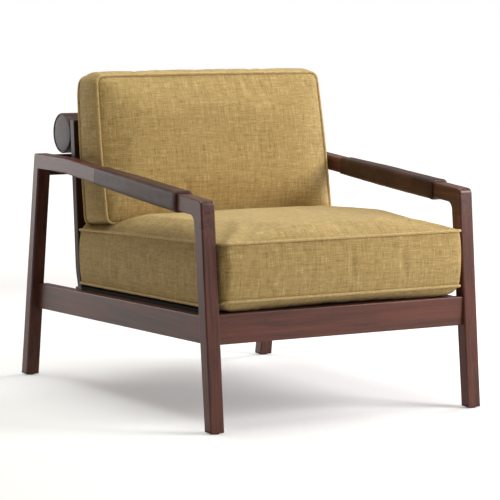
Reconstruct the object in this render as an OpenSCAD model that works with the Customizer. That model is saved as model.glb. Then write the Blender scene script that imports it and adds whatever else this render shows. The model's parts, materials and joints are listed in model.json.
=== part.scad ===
// Wooden lounge armchair with open side frames, leather wrapped arms, a leather back roll
// and two loose boxed cushions.
//
// Frame: millimetres, +Z up, front of the chair towards -Y.
// Origin: on the floor, at the centre of the chair's bounding box.
// "left" is the -X side and "right" is the +X side, as seen by someone facing the chair.

/* [Overall size] */
// Width over the two side frames
overall_width = 740; // [610:10:890]
// Depth from the front feet to the rear feet
overall_depth = 1024; // [850:1:1230]
// Height of the arm at its front corner
arm_height_front = 524; // [470:2:580]
// Height of the arm at its rear corner
arm_height_rear = 582; // [540:2:640]

/* [Side frames] */
// Thickness of legs and arms across the chair
frame_thickness = 36; // [30:0.2:44]
// Distance the front leg leans back between floor and arm
front_leg_setback = 45; // [20:1:70]
// Depth of the front leg at the floor
front_leg_depth_foot = 31; // [26:1:40]
// Depth of the front leg at the arm
front_leg_depth_top = 40; // [32:1:48]
// Distance the rear leg leans forward between floor and arm
rear_leg_setback = 92; // [60:1:120]
// Depth of the rear leg at the floor
rear_leg_depth_foot = 34; // [28:1:42]
// Depth of the rear leg at the arm
rear_leg_depth_top = 30; // [26:1:36]
// Depth of the arm, top face to underside
arm_depth = 38; // [32:1:46]
// Length of the level part of the arm at the rear
arm_level_length = 178; // [120:2:220]
// Fall of the top face over the level part
arm_level_fall = 2.5; // [1:0.5:6]
// Radius of the arm's front top corner
arm_corner_radius = 12; // [6:1:18]
// Radius of the inside corner between arm and front leg
arm_inner_radius = 20; // [12:1:26]

/* [Seat frame] */
// Height of the front rail's top edge
seat_rail_height = 267.5; // [240:0.5:290]
// Depth of the front rail, top to bottom
front_rail_depth = 69; // [56:1:80]
// Thickness of the front rail
front_rail_thickness = 24; // [20:1:28]
// Distance from the front leg's front face to the front rail's face
front_rail_recess = 5; // [2:0.5:8]
// Depth of the side rails, top to bottom
side_rail_depth = 64; // [52:1:74]
// Thickness of the side rails
side_rail_thickness = 28; // [24:1:30]
// Distance from the leg's outer face to the side rail's outer face
side_rail_recess = 19; // [17:0.5:20]
// Distance the side rails lie below the seat deck
side_rail_drop = 6; // [4:0.5:10]
// Rearward fall of the seat deck, in degrees
seat_fall = 1.1; // [0:0.1:2.5]
// Thickness of the rear seat rail
rear_rail_thickness = 34; // [30:1:40]
// Height of the rear seat rail
rear_rail_height = 65; // [52:1:72]
// Drop of the rear seat rail's top below the deck
rear_rail_drop = 1; // [0.5:0.5:12]
// Number of seat slats
seat_slat_count = 7; // [5:1:9]
// Width of a seat slat
seat_slat_width = 58; // [44:1:64]
// Thickness of a seat slat
seat_slat_thickness = 12; // [10:1:15]
// Side of the square cleat that carries the slats
cleat_size = 22; // [18:1:26]

/* [Back frame] */
// Thickness of a back post, front to rear
post_thickness = 23; // [20:1:28]
// Width of a back post
post_width = 36; // [30:1:44]
// Gap between a post's outer face and the side frame
post_side_gap = 14; // [12:1:30]
// Rearward lean of the back posts, in degrees
post_lean = 4; // [2:0.5:8]
// Forward kick of the post feet, in degrees
post_kick = 17; // [8:1:22]
// Height of the kick above the front rail's top
post_kick_rise = 24.5; // [10:0.5:40]
// Height of the post tops above the roll's centre
post_top_rise = 37; // [28:1:45]
// Distance of the posts' rear faces, at the kick, in front of the chair's rear
post_setback = 227; // [215:1:240]
// Number of back slats
back_slat_count = 4; // [3:1:5]
// Height of a back slat
back_slat_width = 46; // [36:1:54]
// Thickness of a back slat
back_slat_thickness = 13; // [10:1:15]
// Height of the upper back rail
upper_rail_depth = 52; // [40:1:60]
// Thickness of the upper back rail
upper_rail_thickness = 22; // [18:1:24]

/* [Leather] */
// Diameter of the back roll
roll_diameter = 102; // [90:1:112]
// How far the roll's ends stand out past the posts
roll_overhang = 0; // [-10:1:8]
// Gap between the roll and the upper back rail's top
roll_gap = 6; // [3:1:20]
// Thickness of the roll's leather
roll_leather = 3; // [2:0.5:4]
// Wall of the roll's wooden tube
roll_tube_wall = 14; // [10:1:18]
// Distance from the arm's front corner to the front end of its wrap
wrap_start = 112; // [90:1:130]
// Distance from the rear end of the arm wrap to the arm's bend
wrap_rear_gap = 174; // [150:1:220]
// Thickness of the padding under the arm wrap
wrap_padding = 3; // [2:0.5:4]
// Thickness of the arm wrap's leather
wrap_leather = 2.5; // [2:0.5:3]

/* [Cushions] */
// Gap between a cushion's side and the side frame
cushion_side_gap = 12; // [10:1:30]
// Overhang of the seat cushion in front of the front rail
seat_overhang = 13; // [4:1:20]
// Gap between the seat cushion's rear and the posts
cushion_rear_gap = 15; // [12:1:40]
// Height of the seat cushion above the deck
seat_cushion_height = 174; // [150:1:190]
// Gap between the back cushion's foot and the posts
back_foot_gap = 48; // [40:1:70]
// Height of the back cushion's top
back_cushion_top = 784; // [740:1:820]
// Thickness of the back cushion at its foot
back_cushion_thickness = 128; // [110:1:136]
// Wall of the cushion covers
cover_wall = 3; // [2:0.5:4]
// Thickness of the cushion piping
piping_diameter = 7; // [5:0.5:8]

/* [Fasteners] */
// Diameter of the thick dowels
dowel_diameter = 10; // [8:1:12]
// Diameter of the thin dowels
thin_dowel_diameter = 8; // [6:1:8]
// Shank diameter of the wood screws
screw_diameter = 4; // [3:0.5:5]
// Head diameter of the wood screws
screw_head_diameter = 8; // [7:0.5:9]
// Diameter of the bolts that hold the roll
roll_bolt_diameter = 8; // [6:1:10]
// Diameter of the foot glides
glide_diameter = 22; // [18:1:24]
// Thickness of the foot glides
glide_thickness = 4; // [3:0.5:6]

/* [Hidden] */

round_steps = 8;
curve_fn = 64;
small_fn = 32;
eps = 0.01;

half_w = overall_width / 2;
half_d = overall_depth / 2;
frame_inner_x = half_w - frame_thickness;
frame_mid_x = half_w - frame_thickness / 2;

// colours
wood_colour = [0.24, 0.15, 0.12];
hidden_wood_colour = [0.72, 0.58, 0.40];
leather_colour = [0.17, 0.12, 0.10];
cloth_colour = [0.07, 0.07, 0.07];
fabric_colour = [0.72, 0.62, 0.36];
foam_colour = [0.93, 0.91, 0.82];
steel_colour = [0.62, 0.62, 0.63];
glide_colour = [0.16, 0.15, 0.15];

// ---- small maths helpers ----
function unit(v) = v / norm(v);
function mix(a, b, t) = a + (b - a) * t;

// Point where the line through a and b meets the line through c and d
function crossing(a, b, c, d) =
  let (u = b - a)
  let (w = d - c)
  let (k = ((c.x - a.x) * w.y - (c.y - a.y) * w.x) / (u.x * w.y - u.y * w.x))
  a + u * k;

// Arc that rounds the corner b of the path a, b, c
function corner_arc(a, b, c, r) =
  let (u = unit(a - b))
  let (w = unit(c - b))
  let (half = acos(u * w) / 2)
  let (p = b + u * r / tan(half))
  let (q = b + w * r / tan(half))
  let (m = b + unit(u + w) * r / sin(half))
  let (a0 = atan2(p.y - m.y, p.x - m.x))
  let (a1 = atan2(q.y - m.y, q.x - m.x))
  let (turn = (a1 - a0 + 540) % 360 - 180)
  [for (i = [0:round_steps]) m + r * [cos(a0 + turn * i / round_steps), sin(a0 + turn * i / round_steps)]];

// Closed outline with each corner rounded by its own radius
function rounded(pts, radii) =
  let (n = len(pts))
  [for (i = [0:n - 1])
    each radii[i] > 0 ? corner_arc(pts[(i + n - 1) % n], pts[i], pts[(i + 1) % n], radii[i]) : [pts[i]]];

// ---- lines of the side frame, each a Y for a height ----
function front_leg_front(z) = -half_d + front_leg_setback * z / arm_height_front;
function front_leg_rear(z) =
  front_leg_front(z) + mix(front_leg_depth_foot, front_leg_depth_top, z / arm_height_front);
function rear_leg_rear(z) = half_d - rear_leg_setback * z / arm_height_rear;
function rear_leg_front(z) =
  rear_leg_rear(z) - mix(rear_leg_depth_foot, rear_leg_depth_top, z / arm_height_rear);

arm_front_corner = [front_leg_front(arm_height_front), arm_height_front];
arm_rear_corner = [rear_leg_rear(arm_height_rear), arm_height_rear];
arm_bend = [arm_rear_corner.x - arm_level_length, arm_height_rear - arm_level_fall];
arm_slope = atan2(arm_bend.y - arm_front_corner.y, arm_bend.x - arm_front_corner.x);
arm_drop = [0, arm_depth];
arm_inner_corner = crossing(
  arm_front_corner - arm_drop, arm_bend - arm_drop,
  [front_leg_rear(0), 0], [front_leg_rear(arm_height_front), arm_height_front]);
// the front leg ends just below the rounded inside corner
front_joint_gap = 8;
front_joint_z = arm_inner_corner.y - arm_inner_radius - front_joint_gap;
rear_joint_z = arm_height_rear - arm_depth + 1;
arm_rear_radius = 6;
arm_bend_radius = 260;

// ---- seat deck ----
rail_front_y = front_leg_front(seat_rail_height) + front_rail_recess;
function deck_z(y) = seat_rail_height - (y - rail_front_y) * tan(seat_fall);
function side_rail_top(y) = deck_z(y) - side_rail_drop;
side_rail_inner_x = half_w - side_rail_recess - side_rail_thickness;
side_rail_mid_x = half_w - side_rail_recess - side_rail_thickness / 2;
side_bearing_x = (frame_inner_x + half_w - side_rail_recess) / 2;

// ---- back posts ----
post_reach = frame_inner_x - post_side_gap;
post_rear_y = half_d - post_setback;
post_kick_height = seat_rail_height + post_kick_rise;
post_front_y = post_rear_y - post_thickness;
function post_rear(z) = z >= post_kick_height
  ? post_rear_y + (z - post_kick_height) * tan(post_lean)
  : post_rear_y - (post_kick_height - z) * tan(post_kick);
rear_rail_top = deck_z(post_rear_y) - rear_rail_drop;
rear_rail_bottom = rear_rail_top - rear_rail_height;
post_foot_mid = post_rear(rear_rail_top) - post_thickness / 2;
rear_rail_front = post_foot_mid - rear_rail_thickness / 2;
post_bend_radius = 150;
post_mid_x = post_reach - post_width / 2;

// ---- upper back rail ----
upper_rail_top = arm_height_rear - 4;
upper_rail_inset = 0.5;
upper_rail_rear = rear_leg_rear(upper_rail_top) - upper_rail_inset;

// ---- back roll ----
roll_radius = roll_diameter / 2;
roll_length = 2 * (post_reach + roll_overhang);
roll_height = upper_rail_top + roll_gap + roll_radius;
post_top_height = roll_height + post_top_rise;
roll_y = post_rear(roll_height) + roll_radius / cos(post_lean);
roll_core_radius = roll_radius - roll_leather;

// ---- cushions ----
cushion_gap = 1;
seat_top_h = seat_cushion_height;
function seat_top_z(y) = deck_z(y) + seat_top_h / cos(seat_fall);

// ================= shared shapes =================

// Flat part of constant thickness, cut from an outline in the Y-Z plane
module plate(outline, x_from, x_to) {
  translate([x_from, 0, 0])
    rotate([90, 0, 90])
      linear_extrude(height = x_to - x_from)
        polygon(outline);
}

// Draws its children on the right, or mirrored on the left
module on_side(side) {
  if (side > 0)
    children();
  else
    mirror([1, 0, 0])
      children();
}

module both_sides() {
  on_side(1)
    children();
  on_side(-1)
    children();
}

// Rod from one point to another along Y
module rod_y(at, d, length) {
  translate(at)
    rotate([-90, 0, 0])
      cylinder(d = d, h = length, $fn = small_fn);
}

// Rod along X
module rod_x(at, d, length) {
  translate(at)
    rotate([0, 90, 0])
      cylinder(d = d, h = length, $fn = small_fn);
}

// Rod along Z
module rod_z(at, d, length) {
  translate(at)
    cylinder(d = d, h = length, $fn = small_fn);
}

// Countersunk wood screw along +Z with its head face at the origin
module wood_screw(length) {
  head = (screw_head_diameter - screw_diameter) / 2;
  cylinder(d1 = screw_head_diameter, d2 = screw_diameter, h = head, $fn = small_fn);
  translate([0, 0, head - eps])
    cylinder(d = screw_diameter, h = length - head, $fn = small_fn);
}

// ================= fasteners =================
dowel_half = 22;
rear_dowel_setback = 8;
rear_dowel_step = 10;
cross_dowel_depth = frame_thickness - rear_dowel_setback - rear_dowel_step - thin_dowel_diameter / 2 - 1;

// Upright dowels between legs and arms, two at each joint
module leg_dowel_set() {
  inset = front_leg_depth_top / 4;
  both_sides() {
    for (k = [-1, 1]) {
      rod_z([frame_mid_x,
             (front_leg_front(front_joint_z) + front_leg_rear(front_joint_z)) / 2 + k * inset * 0.9,
             front_joint_z - dowel_half], dowel_diameter, 2 * dowel_half);
    }
    for (k = [0, 1]) {
      rod_z([half_w - rear_dowel_setback - k * rear_dowel_step,
             (rear_leg_front(rear_joint_z) + rear_leg_rear(rear_joint_z)) / 2,
             rear_joint_z - dowel_half], thin_dowel_diameter, 2 * dowel_half);
    }
  }
}

// Dowels along Y between side rails and legs, two at each joint.
// At the front they pass between the dowels of the front rail.
side_dowel_drops = [26.5, 53];
front_dowel_drops = [13, 40];
module side_rail_dowel_set() {
  front_y = front_leg_rear(side_rail_top(-half_d));
  rear_y = rear_leg_front(side_rail_top(half_d));
  both_sides() {
    for (drop = side_dowel_drops)
      rod_y([side_bearing_x, front_y - dowel_half - 3, seat_rail_height - drop],
            thin_dowel_diameter, 2 * dowel_half);
    for (k = [0.28, 0.72]) {
      rod_y([side_bearing_x, rear_y - dowel_half + 2, side_rail_top(rear_y) - side_rail_depth * k],
            thin_dowel_diameter, 2 * dowel_half);
    }
  }
}

// Dowels along X in the ends of the front rail, rear seat rail and upper back rail
module cross_rail_dowel_set() {
  both_sides() {
    for (drop = front_dowel_drops)
      rod_x([frame_inner_x - dowel_half, rail_front_y + front_rail_thickness / 2, seat_rail_height - drop],
            thin_dowel_diameter, 2 * dowel_half);
    for (k = [-1, 1]) {
      rod_x([frame_inner_x - dowel_half, upper_rail_rear - upper_rail_thickness / 2,
             upper_rail_top - upper_rail_depth * (2 + k) / 4],
            thin_dowel_diameter, dowel_half + cross_dowel_depth);
      rod_x([side_rail_inner_x - dowel_half, post_foot_mid + k * rear_rail_thickness * 0.28,
             rear_rail_bottom + rear_rail_height * (0.5 + k * 0.3)],
            thin_dowel_diameter, 2 * dowel_half - 2);
    }
  }
}

// Upright dowels between the back posts and the rear seat rail
module post_dowel_set() {
  both_sides() {
    for (k = [-1, 1]) {
      rod_z([post_mid_x + k * post_width / 4, post_foot_mid, rear_rail_top - dowel_half],
            thin_dowel_diameter, dowel_half + dowel_half / 2);
    }
  }
}

// Bolts through the posts into the roll
bolt_head_diameter = 16;
bolt_head_height = 5;
bolt_reach = post_thickness / cos(post_lean) + roll_leather + roll_tube_wall + 2;
module roll_bolt_set() {
  both_sides() {
    translate([post_mid_x, post_rear(roll_height) - post_thickness, roll_height])
      rotate([-90, 0, 0]) {
        cylinder(d = roll_bolt_diameter, h = bolt_reach, $fn = small_fn);
        cylinder(d = bolt_head_diameter, h = bolt_head_height, $fn = small_fn);
      }
  }
}

// Screws that hold the slat cleats to the side rails
cleat_screw_length = 34;
cleat_front_y = rail_front_y + front_rail_thickness + 34;
cleat_rear_y = rear_rail_front - 34;
function cleat_top(y) = deck_z(y) - seat_slat_thickness / cos(seat_fall);
function slat_y(i) = mix(
  cleat_front_y + seat_slat_width / 2, cleat_rear_y - seat_slat_width / 2, i / (seat_slat_count - 1));
module cleat_screw_set() {
  both_sides() {
    for (i = [0:seat_slat_count - 2]) {
      y = slat_y(i + 0.5);
      translate([side_rail_inner_x - cleat_size, y, cleat_top(y) - cleat_size / 2])
        rotate([0, 90, 0])
          wood_screw(cleat_screw_length);
    }
  }
}

// Places its children at each seat slat, tilted with the deck
module each_slat() {
  for (i = [0:seat_slat_count - 1]) {
    y = slat_y(i);
    translate([0, y, deck_z(y)])
      rotate([-seat_fall, 0, 0])
        children();
  }
}

// Screws that hold the slats to the cleats
slat_screw_length = 26;
module slat_screw_set() {
  each_slat()
    both_sides()
      translate([side_rail_inner_x - cleat_size / 2, 0, 0])
        rotate([180, 0, 0])
          wood_screw(slat_screw_length);
}

// Corner blocks inside the seat frame and their screws
block_leg = 46;
block_height = 32;
block_screw_length = 36;
block_screw_seat = 18;
block_screw_offset = 15;
block_access = 20;
block_front_y = rail_front_y + front_rail_thickness;
block_rear_y = rear_rail_front;
function block_z(y) = cleat_top(y) - cleat_size - block_height - 2;

// One block screw, with the bore behind its head when access is above zero
module block_screw(access) {
  wood_screw(block_screw_length);
  if (access > 0)
    translate([0, 0, -access])
      cylinder(d = screw_head_diameter, h = access + eps, $fn = small_fn);
}
module block_screw_set(access = 0) {
  seat_x = side_rail_inner_x - block_screw_seat;
  off_x = min(side_rail_inner_x - block_screw_offset, frame_inner_x - dowel_half - screw_diameter);
  low = 0.28;
  high = 0.72;
  both_sides() {
    translate([seat_x, block_front_y + block_screw_offset, block_z(block_front_y) + block_height * low])
      rotate([0, 90, 0])
        block_screw(access);
    translate([off_x, block_front_y + block_screw_seat, block_z(block_front_y) + block_height * high])
      rotate([90, 0, 0])
        block_screw(access);
    translate([seat_x, block_rear_y - block_screw_offset, block_z(block_rear_y) + block_height * low])
      rotate([0, 90, 0])
        block_screw(access);
    translate([off_x, block_rear_y - block_screw_seat, block_z(block_rear_y) + block_height * high])
      rotate([-90, 0, 0])
        block_screw(access);
  }
}

// Nails that hold the foot glides
nail_diameter = 2.5;
nail_length = 18;
front_foot_y = -half_d + front_leg_depth_foot / 2;
rear_foot_y = half_d - rear_leg_depth_foot / 2;
module each_foot() {
  both_sides() {
    translate([frame_mid_x, front_foot_y, 0])
      children();
    translate([frame_mid_x, rear_foot_y, 0])
      children();
  }
}
module glide_nail_set() {
  nail_recess = 1.5;
  each_foot()
    translate([0, 0, nail_recess]) {
      cylinder(d = nail_diameter, h = nail_length, $fn = small_fn);
      cylinder(d = nail_diameter * 2.4, h = 1, $fn = small_fn);
    }
}

// ================= wooden pieces =================

// Distance the legs stop above the floor, taken up by the glides
foot_lift = 2.5;

module front_leg(side) {
  color(wood_colour)
    on_side(side)
      difference() {
        plate([
          [front_leg_front(foot_lift), foot_lift],
          [front_leg_rear(foot_lift), foot_lift],
          [front_leg_rear(front_joint_z), front_joint_z],
          [front_leg_front(front_joint_z), front_joint_z]
        ], frame_inner_x, half_w);
        leg_dowel_set();
        side_rail_dowel_set();
        cross_rail_dowel_set();
        glide_set();
        glide_nail_set();
      }
}

module rear_leg(side) {
  color(wood_colour)
    on_side(side)
      difference() {
        plate([
          [rear_leg_front(foot_lift), foot_lift],
          [rear_leg_rear(foot_lift), foot_lift],
          [rear_leg_rear(rear_joint_z), rear_joint_z],
          [rear_leg_front(rear_joint_z), rear_joint_z]
        ], frame_inner_x, half_w);
        leg_dowel_set();
        side_rail_dowel_set();
        cross_rail_dowel_set();
        glide_set();
        glide_nail_set();
      }
}

module arm(side) {
  outline = rounded([
    [front_leg_front(front_joint_z), front_joint_z],
    [front_leg_rear(front_joint_z), front_joint_z],
    arm_inner_corner,
    arm_bend - arm_drop,
    [rear_leg_front(rear_joint_z), rear_joint_z],
    [rear_leg_rear(rear_joint_z), rear_joint_z],
    arm_rear_corner,
    arm_bend,
    arm_front_corner
  ], [0, 0, arm_inner_radius, arm_bend_radius, 0, 0, arm_rear_radius, arm_bend_radius, arm_corner_radius]);
  color(wood_colour)
    on_side(side)
      difference() {
        plate(outline, frame_inner_x, half_w);
        leg_dowel_set();
        cross_rail_dowel_set();
      }
}

// Outline of a side rail between the two legs
side_rail_far = 1000;
function rail_line(y, below) = [y, side_rail_top(y) - below];
function front_leg_line(z) = [front_leg_rear(z), z];
function rear_leg_line(z) = [rear_leg_front(z), z];
function rail_corner_front(below) = crossing(
  rail_line(-side_rail_far, below), rail_line(side_rail_far, below),
  front_leg_line(0), front_leg_line(side_rail_far));
function rail_corner_rear(below) = crossing(
  rail_line(-side_rail_far, below), rail_line(side_rail_far, below),
  rear_leg_line(0), rear_leg_line(side_rail_far));

// Side rail on the right, before it is bored
module side_rail_blank() {
  plate([
    rail_corner_front(side_rail_depth),
    rail_corner_rear(side_rail_depth),
    rail_corner_rear(0),
    rail_corner_front(0)
  ], side_rail_inner_x, side_rail_inner_x + side_rail_thickness);
}

module side_rail(side) {
  color(wood_colour)
    on_side(side)
      difference() {
        side_rail_blank();
        side_rail_dowel_set();
        cross_rail_dowel_set();
        cleat_screw_set();
        block_screw_set();
      }
}

module front_rail() {
  color(wood_colour)
    difference() {
      translate([-frame_inner_x, rail_front_y, seat_rail_height - front_rail_depth])
        cube([2 * frame_inner_x, front_rail_thickness, front_rail_depth]);
      both_sides()
        side_rail_blank();
      cross_rail_dowel_set();
      block_screw_set();
    }
}

module rear_seat_rail() {
  color(wood_colour)
    difference() {
      translate([-side_rail_inner_x, rear_rail_front, rear_rail_bottom])
        cube([2 * side_rail_inner_x, rear_rail_thickness, rear_rail_height]);
      cross_rail_dowel_set();
      post_dowel_set();
      block_screw_set();
    }
}

module upper_back_rail() {
  color(wood_colour)
    difference() {
      translate([-frame_inner_x, upper_rail_rear - upper_rail_thickness, upper_rail_top - upper_rail_depth])
        cube([2 * frame_inner_x, upper_rail_thickness, upper_rail_depth]);
      cross_rail_dowel_set();
    }
}

module back_post(side) {
  depth = [post_thickness, 0];
  top = [post_rear(post_top_height), post_top_height];
  bend = [post_rear(post_kick_height), post_kick_height];
  foot = [post_rear(rear_rail_top), rear_rail_top];
  outline = rounded([foot - depth, foot, bend, top, top - depth, bend - depth],
                    [0, 0, post_bend_radius, 4, 4, post_bend_radius]);
  color(wood_colour)
    on_side(side)
      difference() {
        plate(outline, post_reach - post_width, post_reach);
        slat_bars();
        post_dowel_set();
        roll_bolt_set();
      }
}

// Slats that run between the back posts, each let into both posts
back_slat_tenon = 12;
back_slat_low = post_kick_height + 44;
back_slat_high = roll_height - 47;
module slat_bars() {
  reach = post_reach - post_width + back_slat_tenon;
  for (i = [0:back_slat_count - 1]) {
    z = mix(back_slat_low, back_slat_high, i / (back_slat_count - 1));
    translate([0, post_rear(z) - post_thickness / 2, z])
      rotate([-post_lean, 0, 0])
        translate([-reach, -back_slat_thickness / 2, -back_slat_width / 2])
          cube([2 * reach, back_slat_thickness, back_slat_width]);
  }
}
module back_slats() {
  color(wood_colour)
    slat_bars();
}

module slat_cleat(side) {
  color(wood_colour)
    on_side(side)
      difference() {
        plate([
          [cleat_front_y, cleat_top(cleat_front_y) - cleat_size],
          [cleat_rear_y, cleat_top(cleat_rear_y) - cleat_size],
          [cleat_rear_y, cleat_top(cleat_rear_y)],
          [cleat_front_y, cleat_top(cleat_front_y)]
        ], side_rail_inner_x - cleat_size, side_rail_inner_x);
        cleat_screw_set();
        slat_screw_set();
      }
}

slat_clearance = 1;
module seat_slats() {
  color(wood_colour)
    difference() {
      each_slat()
        translate([-side_rail_inner_x + slat_clearance, -seat_slat_width / 2, -seat_slat_thickness])
          cube([2 * (side_rail_inner_x - slat_clearance), seat_slat_width, seat_slat_thickness]);
      slat_screw_set();
    }
}

// Black cloth laid over the slats, with its sides turned down past the slat ends
module platform_cloth() {
  clearance = 0.1;
  thick = cushion_gap - 3 * clearance;
  turn_down = seat_slat_thickness - 1;
  inner_x = side_rail_inner_x - slat_clearance + clearance;
  front = block_front_y + 2;
  rear = rear_rail_front - 2;
  color(cloth_colour)
    difference() {
      plate([
        [front, deck_z(front) - turn_down],
        [rear, deck_z(rear) - turn_down],
        [rear, deck_z(rear) + clearance + thick],
        [front, deck_z(front) + clearance + thick]
      ], -inner_x - thick, inner_x + thick);
      plate([
        [front - eps, deck_z(front) - turn_down - eps],
        [rear + eps, deck_z(rear) - turn_down - eps],
        [rear + eps, deck_z(rear + eps) + clearance],
        [front - eps, deck_z(front - eps) + clearance]
      ], -inner_x, inner_x);
    }
}

module corner_blocks() {
  color(hidden_wood_colour)
    difference() {
      both_sides() {
        translate([side_rail_inner_x, block_front_y, block_z(block_front_y)])
          linear_extrude(height = block_height)
            polygon([[0, 0], [0, block_leg], [-block_leg, 0]]);
        translate([side_rail_inner_x, block_rear_y, block_z(block_rear_y)])
          linear_extrude(height = block_height)
            polygon([[0, 0], [-block_leg, 0], [0, -block_leg]]);
      }
      block_screw_set(block_access);
    }
}

// ================= leather pieces =================

// Solid sleeve round the arm, grown by g on every side
module arm_sleeve(g, r) {
  deep = arm_depth * cos(arm_slope);
  half_t = frame_thickness / 2 + g;
  outline = [[-half_t, -g], [half_t, -g], [half_t, deep + g], [-half_t, deep + g]];
  translate([frame_mid_x, arm_front_corner.x, arm_front_corner.y])
    rotate([arm_slope, 0, 0])
      translate([0, wrap_start, 0])
        rotate([-90, 0, 0])
          linear_extrude(height = norm(arm_bend - arm_front_corner) - wrap_start - wrap_rear_gap)
            polygon(rounded(outline, [r, r, r, r]));
}

module arm_padding(side) {
  color(foam_colour)
    on_side(side)
      difference() {
        arm_sleeve(wrap_padding, wrap_padding);
        arm_sleeve(0, 0);
      }
}

module arm_wrap(side) {
  whole = wrap_padding + wrap_leather;
  color(leather_colour)
    on_side(side)
      difference() {
        arm_sleeve(whole, whole);
        arm_sleeve(wrap_padding, wrap_padding);
      }
}

module roll_part(x_from, x_to, r_out, r_in) {
  translate([x_from, roll_y, roll_height])
    rotate([0, 90, 0])
      linear_extrude(height = x_to - x_from)
        difference() {
          circle(r = r_out, $fn = curve_fn * 2);
          if (r_in > 0)
            circle(r = r_in, $fn = curve_fn * 2);
        }
}

module roll_tube() {
  color(hidden_wood_colour)
    difference() {
      roll_part(-roll_length / 2 + roll_leather, roll_length / 2 - roll_leather,
                roll_core_radius, roll_core_radius - roll_tube_wall);
      roll_bolt_set();
    }
}

module roll_leather_cover() {
  color(leather_colour)
    difference() {
      roll_part(-roll_length / 2 + roll_leather, roll_length / 2 - roll_leather,
                roll_radius, roll_core_radius);
      roll_bolt_set();
    }
}

module roll_end(side) {
  color(leather_colour)
    on_side(side)
      roll_part(roll_length / 2 - roll_leather, roll_length / 2, roll_radius, 0);
}

// ================= fasteners and glides =================
module roll_bolts() {
  color(steel_colour)
    roll_bolt_set();
}

module leg_dowels() {
  color(hidden_wood_colour)
    leg_dowel_set();
}

module side_rail_dowels() {
  color(hidden_wood_colour)
    side_rail_dowel_set();
}

module cross_rail_dowels() {
  color(hidden_wood_colour)
    cross_rail_dowel_set();
}

module post_dowels() {
  color(hidden_wood_colour)
    post_dowel_set();
}

module cleat_screws() {
  color(steel_colour)
    cleat_screw_set();
}

module slat_screws() {
  color(steel_colour)
    slat_screw_set();
}

module block_screws() {
  color(steel_colour)
    block_screw_set();
}

module glide_set() {
  each_foot()
    cylinder(d = glide_diameter, h = glide_thickness, $fn = curve_fn);
}

module foot_glides() {
  recess = 1.5;
  color(glide_colour)
    difference() {
      glide_set();
      glide_nail_set();
      each_foot()
        translate([0, 0, -eps])
          cylinder(d = nail_diameter * 3, h = recess + eps, $fn = small_fn);
    }
}

module glide_nails() {
  color(steel_colour)
    glide_nail_set();
}

// ================= cushions =================

// Outline moved inwards by d, for an outline drawn anticlockwise
function edge_in(a, b, d) = unit([a.y - b.y, b.x - a.x]) * d;
function inset_outline(pts, d) =
  let (n = len(pts))
  [for (i = [0:n - 1])
    let (p = pts[(i + n - 1) % n])
    let (q = pts[i])
    let (r = pts[(i + 1) % n])
    let (u = edge_in(p, q, d))
    let (w = edge_in(q, r, d))
    crossing(p + u, q + u, q + w, r + w)];

// Point of the seat cushion, s behind the front rail's face and h above the deck
function seat_point(s, h) = [
  rail_front_y + s * cos(seat_fall) + h * sin(seat_fall),
  seat_rail_height - s * sin(seat_fall) + h * cos(seat_fall)
];
seat_low_edge = 22;
seat_edge_drop = 16;
seat_rear_s = (post_front_y - cushion_rear_gap - rail_front_y) / cos(seat_fall);
seat_outline = [
  seat_point(0, cushion_gap),
  seat_point(seat_rear_s - 14, cushion_gap),
  seat_point(seat_rear_s, seat_low_edge + 10),
  seat_point(seat_rear_s, seat_top_h - seat_edge_drop - 8),
  seat_point(seat_rear_s - 12, seat_top_h),
  seat_point(44, seat_top_h),
  seat_point(-seat_overhang + 2, seat_top_h - seat_edge_drop),
  seat_point(-seat_overhang - 2, seat_top_h / 2),
  seat_point(-seat_overhang, seat_low_edge)
];
seat_half_w = frame_inner_x - cushion_side_gap;

// Outline of the back cushion, standing on the seat cushion
back_foot_y = post_front_y - back_foot_gap - back_cushion_thickness;
back_bulge = 54;
function on_seat(y) = [y, seat_top_z(y) + cushion_gap];
back_outline = [
  on_seat(back_foot_y),
  on_seat(back_foot_y + back_cushion_thickness),
  [post_rear(600) - post_thickness - 22, 600],
  [post_rear(post_top_height) - post_thickness - 10, post_top_height + 28],
  [post_rear(post_top_height) - post_thickness - 20, back_cushion_top - 12],
  [post_rear(post_top_height) - post_thickness - 36, back_cushion_top],
  [back_foot_y + 86, back_cushion_top],
  [back_foot_y + 71, back_cushion_top - 8],
  [back_foot_y + 10, seat_top_z(back_foot_y) + 59]
];
back_half_w = seat_half_w;

module seat_cushion_shape(d) {
  plate(inset_outline(seat_outline, d), -seat_half_w + d, seat_half_w - d);
}

module back_cushion_shape(d) {
  plate(inset_outline(back_outline, d), -back_half_w + d, back_half_w - d);
}

// Rectangular loop of piping, square in section, through two points of an outline
module piping_loop(front, rear, half) {
  d = piping_diameter;
  run = norm(rear - front);
  translate([0, front.x, front.y])
    rotate([atan2(rear.y - front.y, rear.x - front.x), 0, 0])
      difference() {
        translate([-half - d / 2, -d / 2, -d / 2])
          cube([2 * half + d, run + d, d]);
        translate([-half + d / 2, d / 2, -d])
          cube([2 * half - d, run - d, 2 * d]);
      }
}

piping_out = 1.5;
module seat_piping_set() {
  half = seat_half_w + piping_out;
  piping_loop(seat_outline[6] - [piping_out, 0], seat_outline[3] + [piping_out, 0], half);
  piping_loop(seat_outline[8] - [piping_out, 0], seat_outline[2] + [piping_out, 0], half);
}
module back_piping_set() {
  half = back_half_w + piping_out;
  piping_loop(back_outline[7] - [piping_out, 0], back_outline[0] + [-piping_out, 6], half);
  piping_loop(back_outline[4] + [piping_out, 0], back_outline[1] + [piping_out, 6], half);
}

module seat_cushion_cover() {
  color(fabric_colour)
    difference() {
      seat_cushion_shape(0);
      seat_cushion_shape(cover_wall);
      seat_piping_set();
    }
}

module seat_cushion_core() {
  color(foam_colour)
    difference() {
      seat_cushion_shape(cover_wall);
      seat_piping_set();
    }
}

module seat_cushion_piping() {
  color(fabric_colour)
    seat_piping_set();
}

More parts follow.
